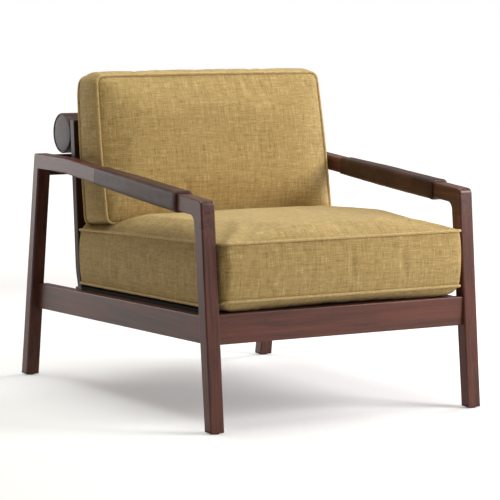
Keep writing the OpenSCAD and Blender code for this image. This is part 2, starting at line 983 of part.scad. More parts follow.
module back_cushion_cover() {
  color(fabric_colour)
    difference() {
      back_cushion_shape(0);
      back_cushion_shape(cover_wall);
      back_piping_set();
    }
}

module back_cushion_core() {
  color(foam_colour)
    difference() {
      back_cushion_shape(cover_wall);
      back_piping_set();
    }
}

module back_cushion_piping() {
  color(fabric_colour)
    back_piping_set();
}

// ================= assembly =================
front_leg(-1);  // front_leg_left
front_leg(1);  // front_leg_right
rear_leg(-1);  // rear_leg_left
rear_leg(1);  // rear_leg_right
arm(-1);  // arm_left
arm(1);  // arm_right
side_rail(-1);  // side_rail_left
side_rail(1);  // side_rail_right
front_rail();
rear_seat_rail();
upper_back_rail();
back_post(-1);  // back_post_left
back_post(1);  // back_post_right
back_slats();
slat_cleat(-1);  // slat_cleat_left
slat_cleat(1);  // slat_cleat_right
seat_slats();
platform_cloth();
corner_blocks();
arm_padding(-1);  // arm_padding_left
arm_padding(1);  // arm_padding_right
arm_wrap(-1);  // arm_wrap_left
arm_wrap(1);  // arm_wrap_right
roll_tube();
roll_leather_cover();
roll_end(-1);  // roll_end_left
roll_end(1);  // roll_end_right
roll_bolts();
leg_dowels();
side_rail_dowels();
cross_rail_dowels();
post_dowels();
cleat_screws();
slat_screws();
block_screws();
foot_glides();
glide_nails();
seat_cushion_cover();
seat_cushion_core();
seat_cushion_piping();
back_cushion_cover();
back_cushion_core();
back_cushion_piping();
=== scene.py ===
"""Lounge armchair with open wooden side frames, leather wrapped arms, a leather back roll and boxed cushions.

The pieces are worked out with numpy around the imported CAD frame, in metres, +Z up and the front towards -Y.
"""

import json
import math

import bpy
import numpy as np
from bpy.props import FloatProperty, FloatVectorProperty, IntProperty, PointerProperty
from mathutils import Matrix, Vector

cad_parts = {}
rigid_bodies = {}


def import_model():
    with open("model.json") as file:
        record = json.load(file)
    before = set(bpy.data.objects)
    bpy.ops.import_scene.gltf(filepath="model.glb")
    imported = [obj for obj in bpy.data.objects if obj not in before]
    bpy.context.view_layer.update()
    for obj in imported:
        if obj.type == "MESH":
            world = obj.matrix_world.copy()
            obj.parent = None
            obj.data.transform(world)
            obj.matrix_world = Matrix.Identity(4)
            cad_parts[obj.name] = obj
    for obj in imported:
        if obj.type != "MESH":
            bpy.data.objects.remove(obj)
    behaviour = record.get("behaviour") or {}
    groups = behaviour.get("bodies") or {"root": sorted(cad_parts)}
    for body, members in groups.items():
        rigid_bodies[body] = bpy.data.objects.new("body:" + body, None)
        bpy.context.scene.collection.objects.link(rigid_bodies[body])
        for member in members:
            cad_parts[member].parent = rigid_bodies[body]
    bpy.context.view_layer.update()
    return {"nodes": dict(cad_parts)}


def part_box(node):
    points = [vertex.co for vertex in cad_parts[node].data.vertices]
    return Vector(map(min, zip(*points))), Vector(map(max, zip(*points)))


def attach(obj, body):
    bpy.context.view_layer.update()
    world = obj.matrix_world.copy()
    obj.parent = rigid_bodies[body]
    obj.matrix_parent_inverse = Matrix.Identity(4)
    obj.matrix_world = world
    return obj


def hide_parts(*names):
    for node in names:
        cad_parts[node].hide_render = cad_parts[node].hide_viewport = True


bl_info = {
    "name": "Lounge Armchair",
    "version": (1, 0, 0),
    "blender": (4, 5, 0),
    "location": "View3D > Sidebar > Armchair",
    "description": "Builds the finished pieces of a wooden lounge armchair around its CAD frame",
    "category": "Object",
}

for _start_object in list(bpy.data.objects):
    bpy.data.objects.remove(_start_object)

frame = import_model()
FRAME_BODY = "frame"
SEAT_BODY = "seat_cushion"
BACK_BODY = "back_cushion"
MM = 0.001
WOOD_CREASE = math.radians(32)  # edges of wooden pieces that are sharper than this stay sharp
LEATHER_CREASE = math.radians(50)
ROLL_SIDES = 96
CORD_SIDES = 10
PUCKER = 0.5 * MM  # height of the gathers next to a seam
HILL_REACH = 100 * MM  # distance from a seam at which a panel's unevenness is in full
PIPING_PUSH = 1.9 * MM  # how far the piping stands outside its seam
SIDE_FLATNESS = 0.55  # share of the seat's side swell that the frame beside it takes away
FLOOR_HALF = 9.0
LIGHT_TARGET = (0.0, 0.0, 0.4)


def box_of(node):
    """Lowest and highest corner of a CAD node as numpy arrays."""
    low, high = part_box(node)
    return np.array(low, float), np.array(high, float)


# ------------------------------------------------------------------ settings


def number(name, description, default, **limits):
    """A plain number for a group of settings."""
    return FloatProperty(name=name, description=description, default=default, **limits)


def length(name, description, default, **limits):
    """A length in metres."""
    return FloatProperty(name=name, description=description, default=default, unit="LENGTH", **limits)


def angle(name, description, degrees):
    """An angle, given in degrees."""
    return FloatProperty(name=name, description=description, default=math.radians(degrees), subtype="ANGLE")


def colour(name, description, default):
    """A colour in linear values."""
    return FloatVectorProperty(
        name=name, description=description, default=default, subtype="COLOR", size=3, min=0, max=1)


class FrameSettings(bpy.types.PropertyGroup):
    """Sizes and colours of the wooden frame."""

    edge_radius: length(
        "Edge radius", "Rounding of the long edges of legs and arms", 4.0 * MM, min=0.5 * MM, max=8.0 * MM)
    rail_edge_radius: length(
        "Rail edge radius", "Rounding of the long edges of rails and slats", 2.5 * MM, min=0.5 * MM,
        max=6.0 * MM)
    arm_height_front: length("Front arm height", "Height of the arm's front corner above the floor", 524 * MM)
    front_leg_depth_foot: length("Front foot depth", "Depth of the front leg at the floor", 31 * MM)
    front_leg_depth_top: length("Front leg top depth", "Depth of the front leg at arm height", 40 * MM)
    rear_leg_depth_foot: length("Rear foot depth", "Depth of the rear leg at the floor", 34 * MM)
    rear_leg_depth_top: length("Rear leg top depth", "Depth of the rear leg at arm height", 30 * MM)
    arm_depth: length("Arm depth", "Depth of the arm, top face to underside", 38 * MM)
    arm_level_length: length("Level arm length", "Length of the level part of the arm", 178 * MM)
    arm_level_fall: length("Level arm fall", "Fall of the arm over its level part", 2.5 * MM)
    front_leg_setback: length("Front leg slant", "How far the front leg leans back up to arm height", 45 * MM)
    rear_leg_setback: length("Rear leg slant", "How far the rear leg leans forward up to arm height", 92 * MM)
    seat_fall: angle("Seat fall", "Angle at which the seat deck falls to the rear", 1.1)
    post_thickness: length("Post thickness", "Thickness of the back posts, front to rear", 23 * MM)
    post_kick_height: length("Post bend height", "Height at which the back posts bend", 292 * MM)
    post_lean: angle("Post lean", "Lean of the back posts above their bend", 4.0)
    post_kick: angle("Post kick", "Slant of the back posts below their bend", 17.0)
    back_slat_width: length("Back slat width", "Height of each back slat", 46 * MM)
    back_slat_thickness: length("Back slat thickness", "Thickness of each back slat", 13 * MM)
    back_slat_count: IntProperty(
        name="Back slats", description="Number of slats between the back posts", default=4, min=2)
    corner_radius: length("Arm corner radius", "Radius of the arm's front top corner", 12 * MM)
    inner_radius: length("Inner radius", "Radius inside the corner of arm and front leg", 20 * MM)
    wood_dark: colour("Dark grain", "Colour of the stained wood's dark grain", (0.034, 0.0100, 0.0062))
    wood_light: colour("Light grain", "Colour of the stained wood's light grain", (0.136, 0.036, 0.0208))
    beech: colour("Plain wood", "Colour of the hidden unstained wood", (0.52, 0.34, 0.18))


class LeatherSettings(bpy.types.PropertyGroup):
    """Sizes and colours of the leather pieces."""

    wrap_thickness: length(
        "Wrap thickness", "How far the arm wrap stands off the wood", 5.0 * MM, min=3 * MM, max=5.5 * MM)
    wrap_start: length("Wrap start", "Distance along the arm from its front corner to the wrap", 112 * MM)
    hem_rise: length("Hem rise", "Extra height of the wrap's folded front hem", 0.9 * MM)
    hem_length: length("Hem length", "Length of the wrap's folded front hem", 9.5 * MM)
    wrap_taper: number(
        "Wrap taper", "Share by which the wrap gets thinner towards its rear end", 0.55, min=0.0, max=0.7)
    stitch_pitch: length("Stitch pitch", "Distance from one stitch to the next", 5.2 * MM)
    roll_dome: length("Roll end dome", "How far the middle of a roll end stands out", 1.6 * MM)
    leather: colour("Leather", "Colour of the leather", (0.036, 0.0145, 0.0098))
    leather_worn: colour("Worn leather", "Colour of the leather where it is rubbed", (0.074, 0.031, 0.0210))
    thread: colour("Thread", "Colour of the stitching", (0.11, 0.075, 0.055))


class CushionSettings(bpy.types.PropertyGroup):
    """Sizes and colours of the two cushions."""

    seat_crown: length(
        "Seat crown", "Rise of the seat cushion's top over its piping at front and rear", 25 * MM)
    seat_crown_extra: length("Seat middle rise", "Further rise of the seat cushion's middle", 10 * MM)
    seat_top_front: length("Front seam height", "Height of the seat's top seam at the front", 425 * MM)
    seat_top_rear: length("Rear seam height", "Height of the seat's top seam at the rear", 397 * MM)
    seat_pressed_height: length("Pressed height", "Height of the seat's top under the back cushion", 424 * MM)
    seat_bottom_gap: length(
        "Bottom seam gap", "Height of the seat's bottom seam over the deck at the sides", 9 * MM)
    seat_bottom_front: length(
        "Front bottom seam", "Height of the seat's bottom seam over the deck at the front", 22 * MM)
    back_bottom: length("Back cushion bottom", "Height of the back cushion's lowest front seam", 427 * MM)
    back_front_foot: length("Front seam at the foot", "Depth of the front seam at the bottom", 97 * MM)
    back_front_head: length("Front seam at the head", "Depth of the front seam at the top", 163 * MM)
    back_rear_foot: length("Rear seam at the foot", "Depth of the rear seam at the bottom", 217 * MM)
    back_rear_head: length("Rear seam at the head", "Depth of the rear seam at the top", 268 * MM)
    back_rear_crown: length(
        "Back cushion rear swell", "Swell of the back cushion's rear over its piping", 14 * MM)
    back_crown: length("Back crown", "Swell of the back cushion's front over its piping", 25 * MM)
    boxing_swell: length("Boxing swell", "Swell of the cushions' side panels", 8 * MM)
    piping_radius: length("Piping radius", "Radius of the sewn-in cord", 3.4 * MM)
    pressure: number(
        "Filling pressure", "Pressure of the filling in the cloth simulation", 3.5, min=0.0, max=10.0)
    move_cap: length("Movement cap", "Furthest that the simulation may move the cloth", 9 * MM)
    cloth_light: colour("Light threads", "Colour of the lighter threads", (0.655, 0.485, 0.228))
    cloth_mid: colour("Ground threads", "Main colour of the cloth", (0.435, 0.300, 0.112))
    cloth_dark: colour("Dark threads", "Colour between the threads", (0.225, 0.140, 0.040))


class StageSettings(bpy.types.PropertyGroup):
    """Camera, light and floor."""

    camera_azimuth: angle("Camera azimuth", "Angle of the camera round the chair", -29.9)
    camera_elevation: angle("Camera elevation", "Angle of the camera above the floor", 6.06)
    camera_distance: length("Camera distance", "Distance from the camera to the point it looks at", 5.8931)
    look_at: FloatVectorProperty(
        name="Look at", description="Point at the middle of the picture", size=3, subtype="TRANSLATION",
        default=(-0.0136, -0.0683, 0.3594))
    lens: number("Lens", "Focal length on a 36 mm sensor, in millimetres", 172.24)
    key_power: number("Key power", "Power of the key light in watts", 62.0)
    left_power: number("Left panel power", "Power of the left light in watts", 40.0)
    rear_power: number("Rear panel power", "Power of the rear light in watts", 70.0)
    top_power: number("Top panel power", "Power of the upper light in watts", 78.0)
    sky_colour: colour("Sky tint", "Tint of the surroundings' light on the chair", (1.0, 0.77, 0.50))
    sky_strength: number("Sky strength", "Brightness of the surroundings on matt surfaces", 0.17)
    sky_reflection: number("Sky reflection", "Brightness of the surroundings in reflections", 0.32)
    floor_glow: number("Floor glow", "Part of the floor's whiteness that no shadow takes away", 0.30)
    floor_colour: colour("Floor", "Colour of the floor", (0.72, 0.72, 0.73))


def settings():
    """The four groups of settings that the scene holds."""
    scene = bpy.context.scene
    return scene.chair_frame, scene.chair_leather, scene.chair_cushion, scene.chair_stage


# ------------------------------------------------------------------ mesh helpers


def grid_quads(rows, cols, wrap_rows=False, wrap_cols=False, start=0):
    """Quads of a grid of rows by cols vertices numbered row by row from start.

    Corner (r, c) joins (r, c+1), (r+1, c+1) and (r+1, c); a wrapped direction closes on its first line.
    """
    r = np.arange(rows if wrap_rows else rows - 1)
    c = np.arange(cols if wrap_cols else cols - 1)
    rr, cc = np.meshgrid(r, c, indexing="ij")
    r2, c2 = (rr + 1) % rows, (cc + 1) % cols
    quads = np.stack([rr * cols + cc, rr * cols + c2, r2 * cols + c2, r2 * cols + cc], axis=-1)
    return quads.reshape(-1, 4) + start


def make_piece(name, verts, faces, body, finish, uv=None, replaces=(), sharp_angle=None):
    """Links a mesh object with its place in its vertices, and ties it to its body."""
    mesh = bpy.data.meshes.new(name)
    mesh.from_pydata(np.asarray(verts, float).tolist(), [], [list(map(int, f)) for f in faces])
    if uv is not None:
        layer = mesh.uv_layers.new(name="weave")
        layer.data.foreach_set("uv", np.asarray(uv, np.float32).ravel())
    mesh.materials.append(material(finish))
    mesh.polygons.foreach_set("use_smooth", np.ones(len(mesh.polygons), bool))
    if sharp_angle is not None:
        mesh.set_sharp_from_angle(angle=sharp_angle)
    mesh.validate(clean_customdata=False)
    mesh.update()
    obj = bpy.data.objects.new(name, mesh)
    bpy.context.scene.collection.objects.link(obj)
    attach(obj, body)
    if replaces:
        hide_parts(*replaces)
    return obj


def wood_piece(node, outline_mesh, finish):
    """A stained member that stands for one CAD node; its large faces keep flat shading."""
    verts, faces = outline_mesh
    obj = make_piece(f"wood_{node}", verts, faces, FRAME_BODY, finish,
                     replaces=[node], sharp_angle=WOOD_CREASE)
    modifier = obj.modifiers.new("weighted_normals", "WEIGHTED_NORMAL")
    modifier.mode = "FACE_AREA"
    modifier.keep_sharp = True
    modifier.weight = 100


def dress_node(node, finish):
    """Gives a CAD node its finish."""
    materials = frame["nodes"][node].data.materials
    materials.clear()
    materials.append(material(finish))


def unit_rows(v):
    """Each row scaled to length one."""
    return v / np.maximum(np.linalg.norm(v, axis=-1, keepdims=True), 1e-12)


def running_length(path):
    """Length along a closed path at each point, and at the first point again."""
    return np.concatenate([[0], np.cumsum(np.linalg.norm(np.roll(path, -1, axis=0) - path, axis=1))])


def quad_values(rows, cols):
    """The row's value and the column's value at the corners of each quad, in the order of grid_quads."""
    r, c = np.meshgrid(np.arange(len(rows) - 1), np.arange(len(cols) - 1), indexing="ij")
    at_row, at_col = np.stack([r, r, r + 1, r + 1], -1), np.stack([c, c + 1, c + 1, c], -1)
    return rows[at_row].reshape(-1, 4), cols[at_col].reshape(-1, 4)


def rounded_outline(points, radii, steps=8):
    """A closed outline with each corner cut by an arc of its own radius.

    The arc touches both edges at r / tan(half the corner angle) from the corner.
    """
    points = np.asarray(points, float)
    out = []
    keep = []
    count = len(points)
    for i in range(count):
        b = points[i]
        if radii[i] <= 0:
            out.append(b[None, :])
            keep.append(np.array([True]))
            continue
        u, w = unit_rows(points[i - 1] - b), unit_rows(points[(i + 1) % count] - b)
        half = math.acos(float(np.clip(u @ w, -1, 1))) / 2
        middle = b + unit_rows(u + w) * radii[i] / math.sin(half)
        start = b + u * radii[i] / math.tan(half) - middle
        end = b + w * radii[i] / math.tan(half) - middle
        a0, a1 = math.atan2(start[1], start[0]), math.atan2(end[1], end[0])
        turn = (a1 - a0 + math.pi) % (2 * math.pi) - math.pi
        t = a0 + turn * np.linspace(0, 1, steps + 1)
        out.append(middle + radii[i] * np.stack([np.cos(t), np.sin(t)], axis=-1))
        keep.append(np.zeros(steps + 1, bool))
    return np.concatenate(out), np.concatenate(keep)


def inset_vectors(outline, edge_inset):
    """Move of each corner when edge i (corner i to i+1) goes inwards by edge_inset[i].

    The move v solves v . n = inset for both edges that meet at the corner.
    """
    ahead = unit_rows(np.roll(outline, -1, axis=0) - outline)
    inward = np.stack([-ahead[:, 1], ahead[:, 0]], axis=-1)
    n1, n2 = np.roll(inward, 1, axis=0), inward
    r1, r2 = np.roll(edge_inset, 1), edge_inset
    det = n1[:, 0] * n2[:, 1] - n1[:, 1] * n2[:, 0]
    straight = np.abs(det) < 1e-4
    safe = np.where(straight, 1.0, det)
    x = (r1 * n2[:, 1] - r2 * n1[:, 1]) / safe
    y = (n1[:, 0] * r2 - n2[:, 0] * r1) / safe
    flat = n2 * ((r1 + r2) / 2)[:, None]
    return np.where(straight[:, None], flat, np.stack([x, y], axis=-1))


def plate_mesh(outline, x_low, x_high, radius, open_edges=(), steps=4):
    """A plate of constant thickness cut from a Y-Z outline, with rounded long edges.

    Each ring is the outline moved in by radius * (1 - cos t), at x = side -+ radius * (1 - sin t), for t
    from 90 degrees to 0 at one side and back at the other. Edges in open_edges stay square.
    """
    count = len(outline)
    inset = np.ones(count)
    inset[list(open_edges)] = 0.0
    move = inset_vectors(outline, inset)
    t = np.linspace(math.pi / 2, 0, steps + 1)
    shrink = np.concatenate([radius * (1 - np.cos(t)), radius * (1 - np.cos(t[::-1]))])
    x = np.concatenate([x_low + radius * (1 - np.sin(t)), x_high - radius * (1 - np.sin(t[::-1]))])
    rings = outline[None] + move[None] * shrink[:, None, None]
    verts = np.concatenate([np.broadcast_to(x[:, None, None], rings.shape[:2] + (1,)), rings], axis=-1)
    rows = len(x)
    faces = grid_quads(rows, count, wrap_cols=True).tolist()
    faces.append(list(range(count - 1, -1, -1)))
    faces.append([(rows - 1) * count + i for i in range(count)])
    return verts.reshape(-1, 3), faces


def bar_mesh(low, high, radius):
    """A straight bar along X between two corners, with its long edges rounded by radius."""
    corners = [[low[1], low[2]], [high[1], low[2]], [high[1], high[2]], [low[1], high[2]]]
    outline, _ = rounded_outline(corners, [radius] * 4, steps=5)
    return plate_mesh(outline, low[0], high[0], min(radius, 1.0 * MM), steps=2)


def cord_mesh(path, radius, up):
    """A closed round cord: circles of radius stand across the path, turned by its direction and up."""
    ahead = unit_rows(np.roll(path, -1, axis=0) - np.roll(path, 1, axis=0))
    side = unit_rows(np.cross(ahead, np.asarray(up, float)[None]))
    top = np.cross(side, ahead)
    a = np.linspace(0, 2 * math.pi, CORD_SIDES, endpoint=False)
    ring = np.cos(a)[None, :, None] * side[:, None] + np.sin(a)[None, :, None] * top[:, None]
    verts = path[:, None] + ring * radius
    faces = grid_quads(len(path), CORD_SIDES, wrap_rows=True, wrap_cols=True)[:, ::-1]
    return verts.reshape(-1, 3), faces, running_length(path)


# ------------------------------------------------------------------ materials


class Graph:
    """Short way to add nodes to a new material, or to a new world."""

    def __init__(self, name, world=False):
        self.block = (bpy.data.worlds if world else bpy.data.materials).new(name)
        self.block.use_nodes = True
        self.tree = self.block.node_tree
        self.shader = self.tree.nodes["Background" if world else "Principled BSDF"]

    def add(self, kind, **values):
        node = self.tree.nodes.new(kind)
        for key, value in values.items():
            setattr(node, key, value)
        return node

    def link(self, source, target):
        self.tree.links.new(source, target)

    def value(self, socket, value):
        """Links a socket or sets a plain number."""
        if isinstance(value, bpy.types.NodeSocket):
            self.link(value, socket)
        else:
            socket.default_value = value

    def place(self):
        """Place in the piece's own coordinates."""
        return self.add("ShaderNodeTexCoord").outputs["Object"]

    def math(self, operation, a, b=0.0):
        node = self.add("ShaderNodeMath", operation=operation)
        self.value(node.inputs[0], a)
        self.value(node.inputs[1], b)
        return node.outputs[0]

    def weighted(self, *terms):
        """Sum of each value times its weight."""
        total = None
        for value, weight in terms:
            term = self.math("MULTIPLY", value, weight)
            total = term if total is None else self.math("ADD", total, term)
        return total

    def mix(self, factor, a, b, colour=False, blend="MIX"):
        """Mixes two numbers, or two colours, which have their own sockets."""
        node = self.add("ShaderNodeMix", data_type="RGBA" if colour else "FLOAT", blend_type=blend)
        first = 6 if colour else 2
        for index, value in ((0, factor), (first, a), (first + 1, b)):
            self.value(node.inputs[index], value)
        return node.outputs[2 if colour else 0]

    def noise(self, vector, scale, detail=2.0, roughness=0.5, distortion=0.0):
        node = self.add("ShaderNodeTexNoise")
        self.link(vector, node.inputs["Vector"])
        for key, value in (("Scale", scale), ("Detail", detail), ("Roughness", roughness),
                           ("Distortion", distortion)):
            node.inputs[key].default_value = value
        return node.outputs["Fac"]

    def stretched(self, vector, scale, shift=(0.0, 0.0, 0.0)):
        node = self.add("ShaderNodeMapping")
        self.link(vector, node.inputs["Vector"])
        node.inputs["Scale"].default_value = scale
        node.inputs["Location"].default_value = shift
        return node.outputs["Vector"]

    def ramp(self, fac, stops):
        node = self.add("ShaderNodeValToRGB")
        self.link(fac, node.inputs["Fac"])
        elements = node.color_ramp.elements
        while len(elements) < len(stops):
            elements.new(0.5)
        for element, (at, colour) in zip(elements, stops):
            element.position = at
            element.color = (*colour, 1.0) if len(colour) == 3 else colour
        return node.outputs["Color"]

    def levels(self, fac, low, high, to_low=0.0, to_high=1.0):
        """Stretches low..high to to_low..to_high."""
        node = self.add("ShaderNodeMapRange")
        self.link(fac, node.inputs["Value"])
        for key, value in (("From Min", low), ("From Max", high), ("To Min", to_low), ("To Max", to_high)):
            node.inputs[key].default_value = value
        return node.outputs["Result"]

    def bump(self, height, distance, strength):
        node = self.add("ShaderNodeBump")
        self.link(height, node.inputs["Height"])
        node.inputs["Distance"].default_value = distance
        node.inputs["Strength"].default_value = strength
        return node.outputs["Normal"]

    def set(self, **values):
        for key, value in values.items():
            self.value(self.shader.inputs[key.replace("_", " ")], value)


def scaled(colour, factor):
    """A colour times a number, or times a number for each channel."""
    return tuple(np.array(colour) * factor)


def stained_wood(name, grain_axis, dark, light, gloss=0.26):
    """Dark stained wood: long streaks along one axis, fine pores and a satin lacquer of weight gloss."""
    g = Graph(name)
    place = g.place()

    def grain(along, across):
        return [along if axis == grain_axis else across for axis in range(3)]

    streak = g.noise(g.stretched(place, grain(3.0, 85.0)), 1.0, detail=5.0, roughness=0.62, distortion=0.6)
    pores = g.noise(g.stretched(place, grain(22.0, 900.0)), 1.0, detail=1.0)
    cloud = g.noise(g.stretched(place, grain(2.2, 9.0), (3.1, 1.7, 0.4)), 1.0, detail=2.0)
    mixed = g.weighted((streak, 0.66), (cloud, 0.34))
    middle = tuple(np.array(dark) * 0.35 + np.array(light) * 0.65)
    colour = g.ramp(mixed, [(0.36, dark), (0.52, middle), (0.66, light)])
    dimple = g.levels(pores, 0.30, 0.46)
    height = g.weighted((dimple, 0.5), (streak, 0.8))
    g.set(Base_Color=g.mix(0.35, colour, dimple, colour=True, blend="MULTIPLY"),
          Roughness=g.levels(streak, 0.0, 1.0, 0.36, 0.52), Specular_IOR_Level=0.25 + 0.45 * gloss,
          Coat_Weight=gloss, Coat_Roughness=0.27, Coat_IOR=1.5, Normal=g.bump(height, 0.00035, 0.5))
    return g.block


def plain_wood(name, colour):
    """Unstained beech with fine flecks, for the hidden woodwork."""
    g = Graph(name)
    place = g.place()
    streak = g.noise(g.stretched(place, (6.0, 120.0, 120.0)), 1.0, detail=4.0)
    fleck = g.noise(g.stretched(place, (60.0, 700.0, 700.0)), 1.0, detail=1.0)
    mixed = g.weighted((streak, 0.7), (fleck, 0.3))
    g.set(Base_Color=g.ramp(mixed, [(0.35, scaled(colour, 0.72)), (0.65, scaled(colour, 1.12))]),
          Roughness=0.62, Normal=g.bump(mixed, 0.0003, 0.4))
    return g.block


def soft_leather(name, colour, worn):
    """Smooth dark leather: cell grain, shallow creases, rubbed patches."""
    g = Graph(name)
    place = g.place()
    cells = g.add("ShaderNodeTexVoronoi", feature="DISTANCE_TO_EDGE")
    g.link(place, cells.inputs["Vector"])
    cells.inputs["Scale"].default_value = 420.0
    grain = g.levels(cells.outputs["Distance"], 0.0, 0.22)
    crease = g.noise(g.stretched(place, (14.0, 40.0, 40.0)), 1.0, detail=4.0, roughness=0.6)
    rub = g.noise(place, 11.0, detail=3.0)
    tint = g.weighted((rub, 0.7), (crease, 0.3))
    height = g.weighted((grain, 0.35), (crease, 1.0))
    g.set(Base_Color=g.ramp(tint, [(0.42, colour), (0.66, worn)]),
          Roughness=g.levels(rub, 0.0, 1.0, 0.34, 0.50), Specular_IOR_Level=0.22, Coat_Weight=0.06,
          Coat_Roughness=0.30, Normal=g.bump(height, 0.0004, 0.45))
    return g.block


def thread_material(name, colour):
    """Waxed thread with a twist."""
    g = Graph(name)
    place = g.place()
    twist = g.noise(place, 1600.0, detail=1.0)
    g.set(Base_Color=g.ramp(twist, [(0.3, scaled(colour, 0.6)), (0.7, colour)]), Roughness=0.6,
          Normal=g.bump(twist, 0.0002, 0.5))
    return g.block


def woven_cloth(name, light, mid, dark, turn=0.0, pitch=1.5 * MM):
    """Slubby linen: two sets of threads cross, with thick and thin stretches along each of them.

    Height is the product of two sine waves, one across the warp and one across the weft, so threads pass over
    and under. Slubs are noise drawn out along one direction and squeezed across it, one set each way.
    """
    g = Graph(name)
    uv = g.add("ShaderNodeUVMap", uv_map="weave").outputs["UV"]
    turned = g.add("ShaderNodeMapping")
    g.link(uv, turned.inputs["Vector"])
    turned.inputs["Rotation"].default_value = (0.0, 0.0, turn)
    place = turned.outputs["Vector"]
    wander = g.noise(place, 26.0, detail=2.0)
    split = g.add("ShaderNodeSeparateXYZ")
    g.link(place, split.inputs[0])
    shift = g.math("MULTIPLY", wander, 2.2 * pitch)
    u = g.math("ADD", split.outputs["X"], shift)
    v = g.math("ADD", split.outputs["Y"], shift)
    wave = math.pi / pitch
    weave = g.math("MULTIPLY", g.math("SINE", g.math("MULTIPLY", u, wave)),
                   g.math("SINE", g.math("MULTIPLY", v, wave)))
    warp = g.noise(g.stretched(place, (620.0, 42.0, 1.0)), 1.0, detail=2.5, roughness=0.6)
    weft = g.noise(g.stretched(place, (46.0, 560.0, 1.0), (7.3, 2.1, 0.0)), 1.0, detail=2.5, roughness=0.6)
    broad_warp = g.noise(g.stretched(place, (190.0, 11.0, 1.0), (1.1, 4.7, 0.0)), 1.0, detail=1.5)
    broad_weft = g.noise(g.stretched(place, (12.0, 170.0, 1.0), (5.9, 0.3, 0.0)), 1.0, detail=1.5)
    speck = g.noise(place, 520.0, detail=2.0, roughness=0.7)
    mottling = g.noise(place, 16.0, detail=2.0)
    total = g.weighted((warp, 0.30), (weft, 0.30), (broad_warp, 0.13), (broad_weft, 0.13), (speck, 0.10),
                       (weave, 0.035), (mottling, 0.04))
    colour = g.ramp(total, [(0.405, dark), (0.475, mid), (0.525, mid), (0.61, light)])
    height = g.weighted((weave, 0.5), (total, 3.0))
    g.set(Base_Color=colour, Roughness=0.92, Specular_IOR_Level=0.2, Sheen_Weight=0.14, Sheen_Roughness=0.5,
          Normal=g.bump(height, 0.0007, 0.8))
    return g.block


def plain_finish(name, colour, roughness, metallic=0.0, grain=900.0):
    """Small hidden pieces: one colour with a fine tooth."""
    g = Graph(name)
    place = g.place()
    tooth = g.noise(place, grain, detail=2.0)
    g.set(Base_Color=g.ramp(tooth, [(0.3, scaled(colour, 0.85)), (0.7, scaled(colour, 1.1))]),
          Roughness=roughness, Metallic=metallic, Normal=g.bump(tooth, 0.0002, 0.3))
    return g.block


MATERIALS = {}
# The back posts take a darkened copy of the stained wood with less lacquer: painted shade, for posts that
# stand in shadow between the arm and the back cushion.
POST_PAINTED_SHADE = 0.25
CORD_BIAS = math.radians(45)
# The piping's cloth colours are made paler than the cover's: painted highlight, for the welts that catch the
# light along each seam.
PIPING_HIGHLIGHT_TINTS = ((1.08, 1.12, 1.22), (1.25, 1.3, 1.5), (1.4, 1.5, 1.8))


def material(key):
    """Makes each finish once."""
    if key in MATERIALS:
        return MATERIALS[key]
    wood, hide, cushion, _ = settings()
    dark, light = tuple(wood.wood_dark), tuple(wood.wood_light)
    cloth = (tuple(cushion.cloth_light), tuple(cushion.cloth_mid), tuple(cushion.cloth_dark))
    makers = {
        "wood_x": lambda: stained_wood("stained_wood_across", 0, dark, light),
        "wood_y": lambda: stained_wood("stained_wood_lengthways", 1, dark, light),
        "wood_z": lambda: stained_wood("stained_wood_upright", 2, dark, light),
        "wood_painted_shade": lambda: stained_wood(
            "stained_wood_posts_painted_shade", 2, scaled(dark, POST_PAINTED_SHADE), scaled(light, POST_PAINTED_SHADE), gloss=0.1),
        "beech": lambda: plain_wood("plain_beech", tuple(wood.beech)),
        "leather": lambda: soft_leather("dark_leather", tuple(hide.leather), tuple(hide.leather_worn)),
        "thread": lambda: thread_material("waxed_thread", tuple(hide.thread)),
        "cloth": lambda: woven_cloth("slub_linen", *cloth),
        # Piping cloth with paler colours, a painted highlight.
        "piping": lambda: woven_cloth("slub_linen_piping_painted_highlight", *map(scaled, cloth, PIPING_HIGHLIGHT_TINTS), turn=CORD_BIAS),
        "steel": lambda: plain_finish("zinc_steel", (0.62, 0.62, 0.63), 0.35, metallic=1.0),
        # Near-black platform cloth: painted shade, so the deck seen under the seat cushion is as dark as the
        # shadow there.
        "cloth_painted_shade": lambda: plain_finish("platform_cloth", (0.012, 0.011, 0.010), 0.95, grain=1500.0),
        "nylon": lambda: plain_finish("black_nylon", (0.02, 0.02, 0.02), 0.5),
    }
    MATERIALS[key] = makers[key]()
    return MATERIALS[key]


# ------------------------------------------------------------------ lines of the side frame


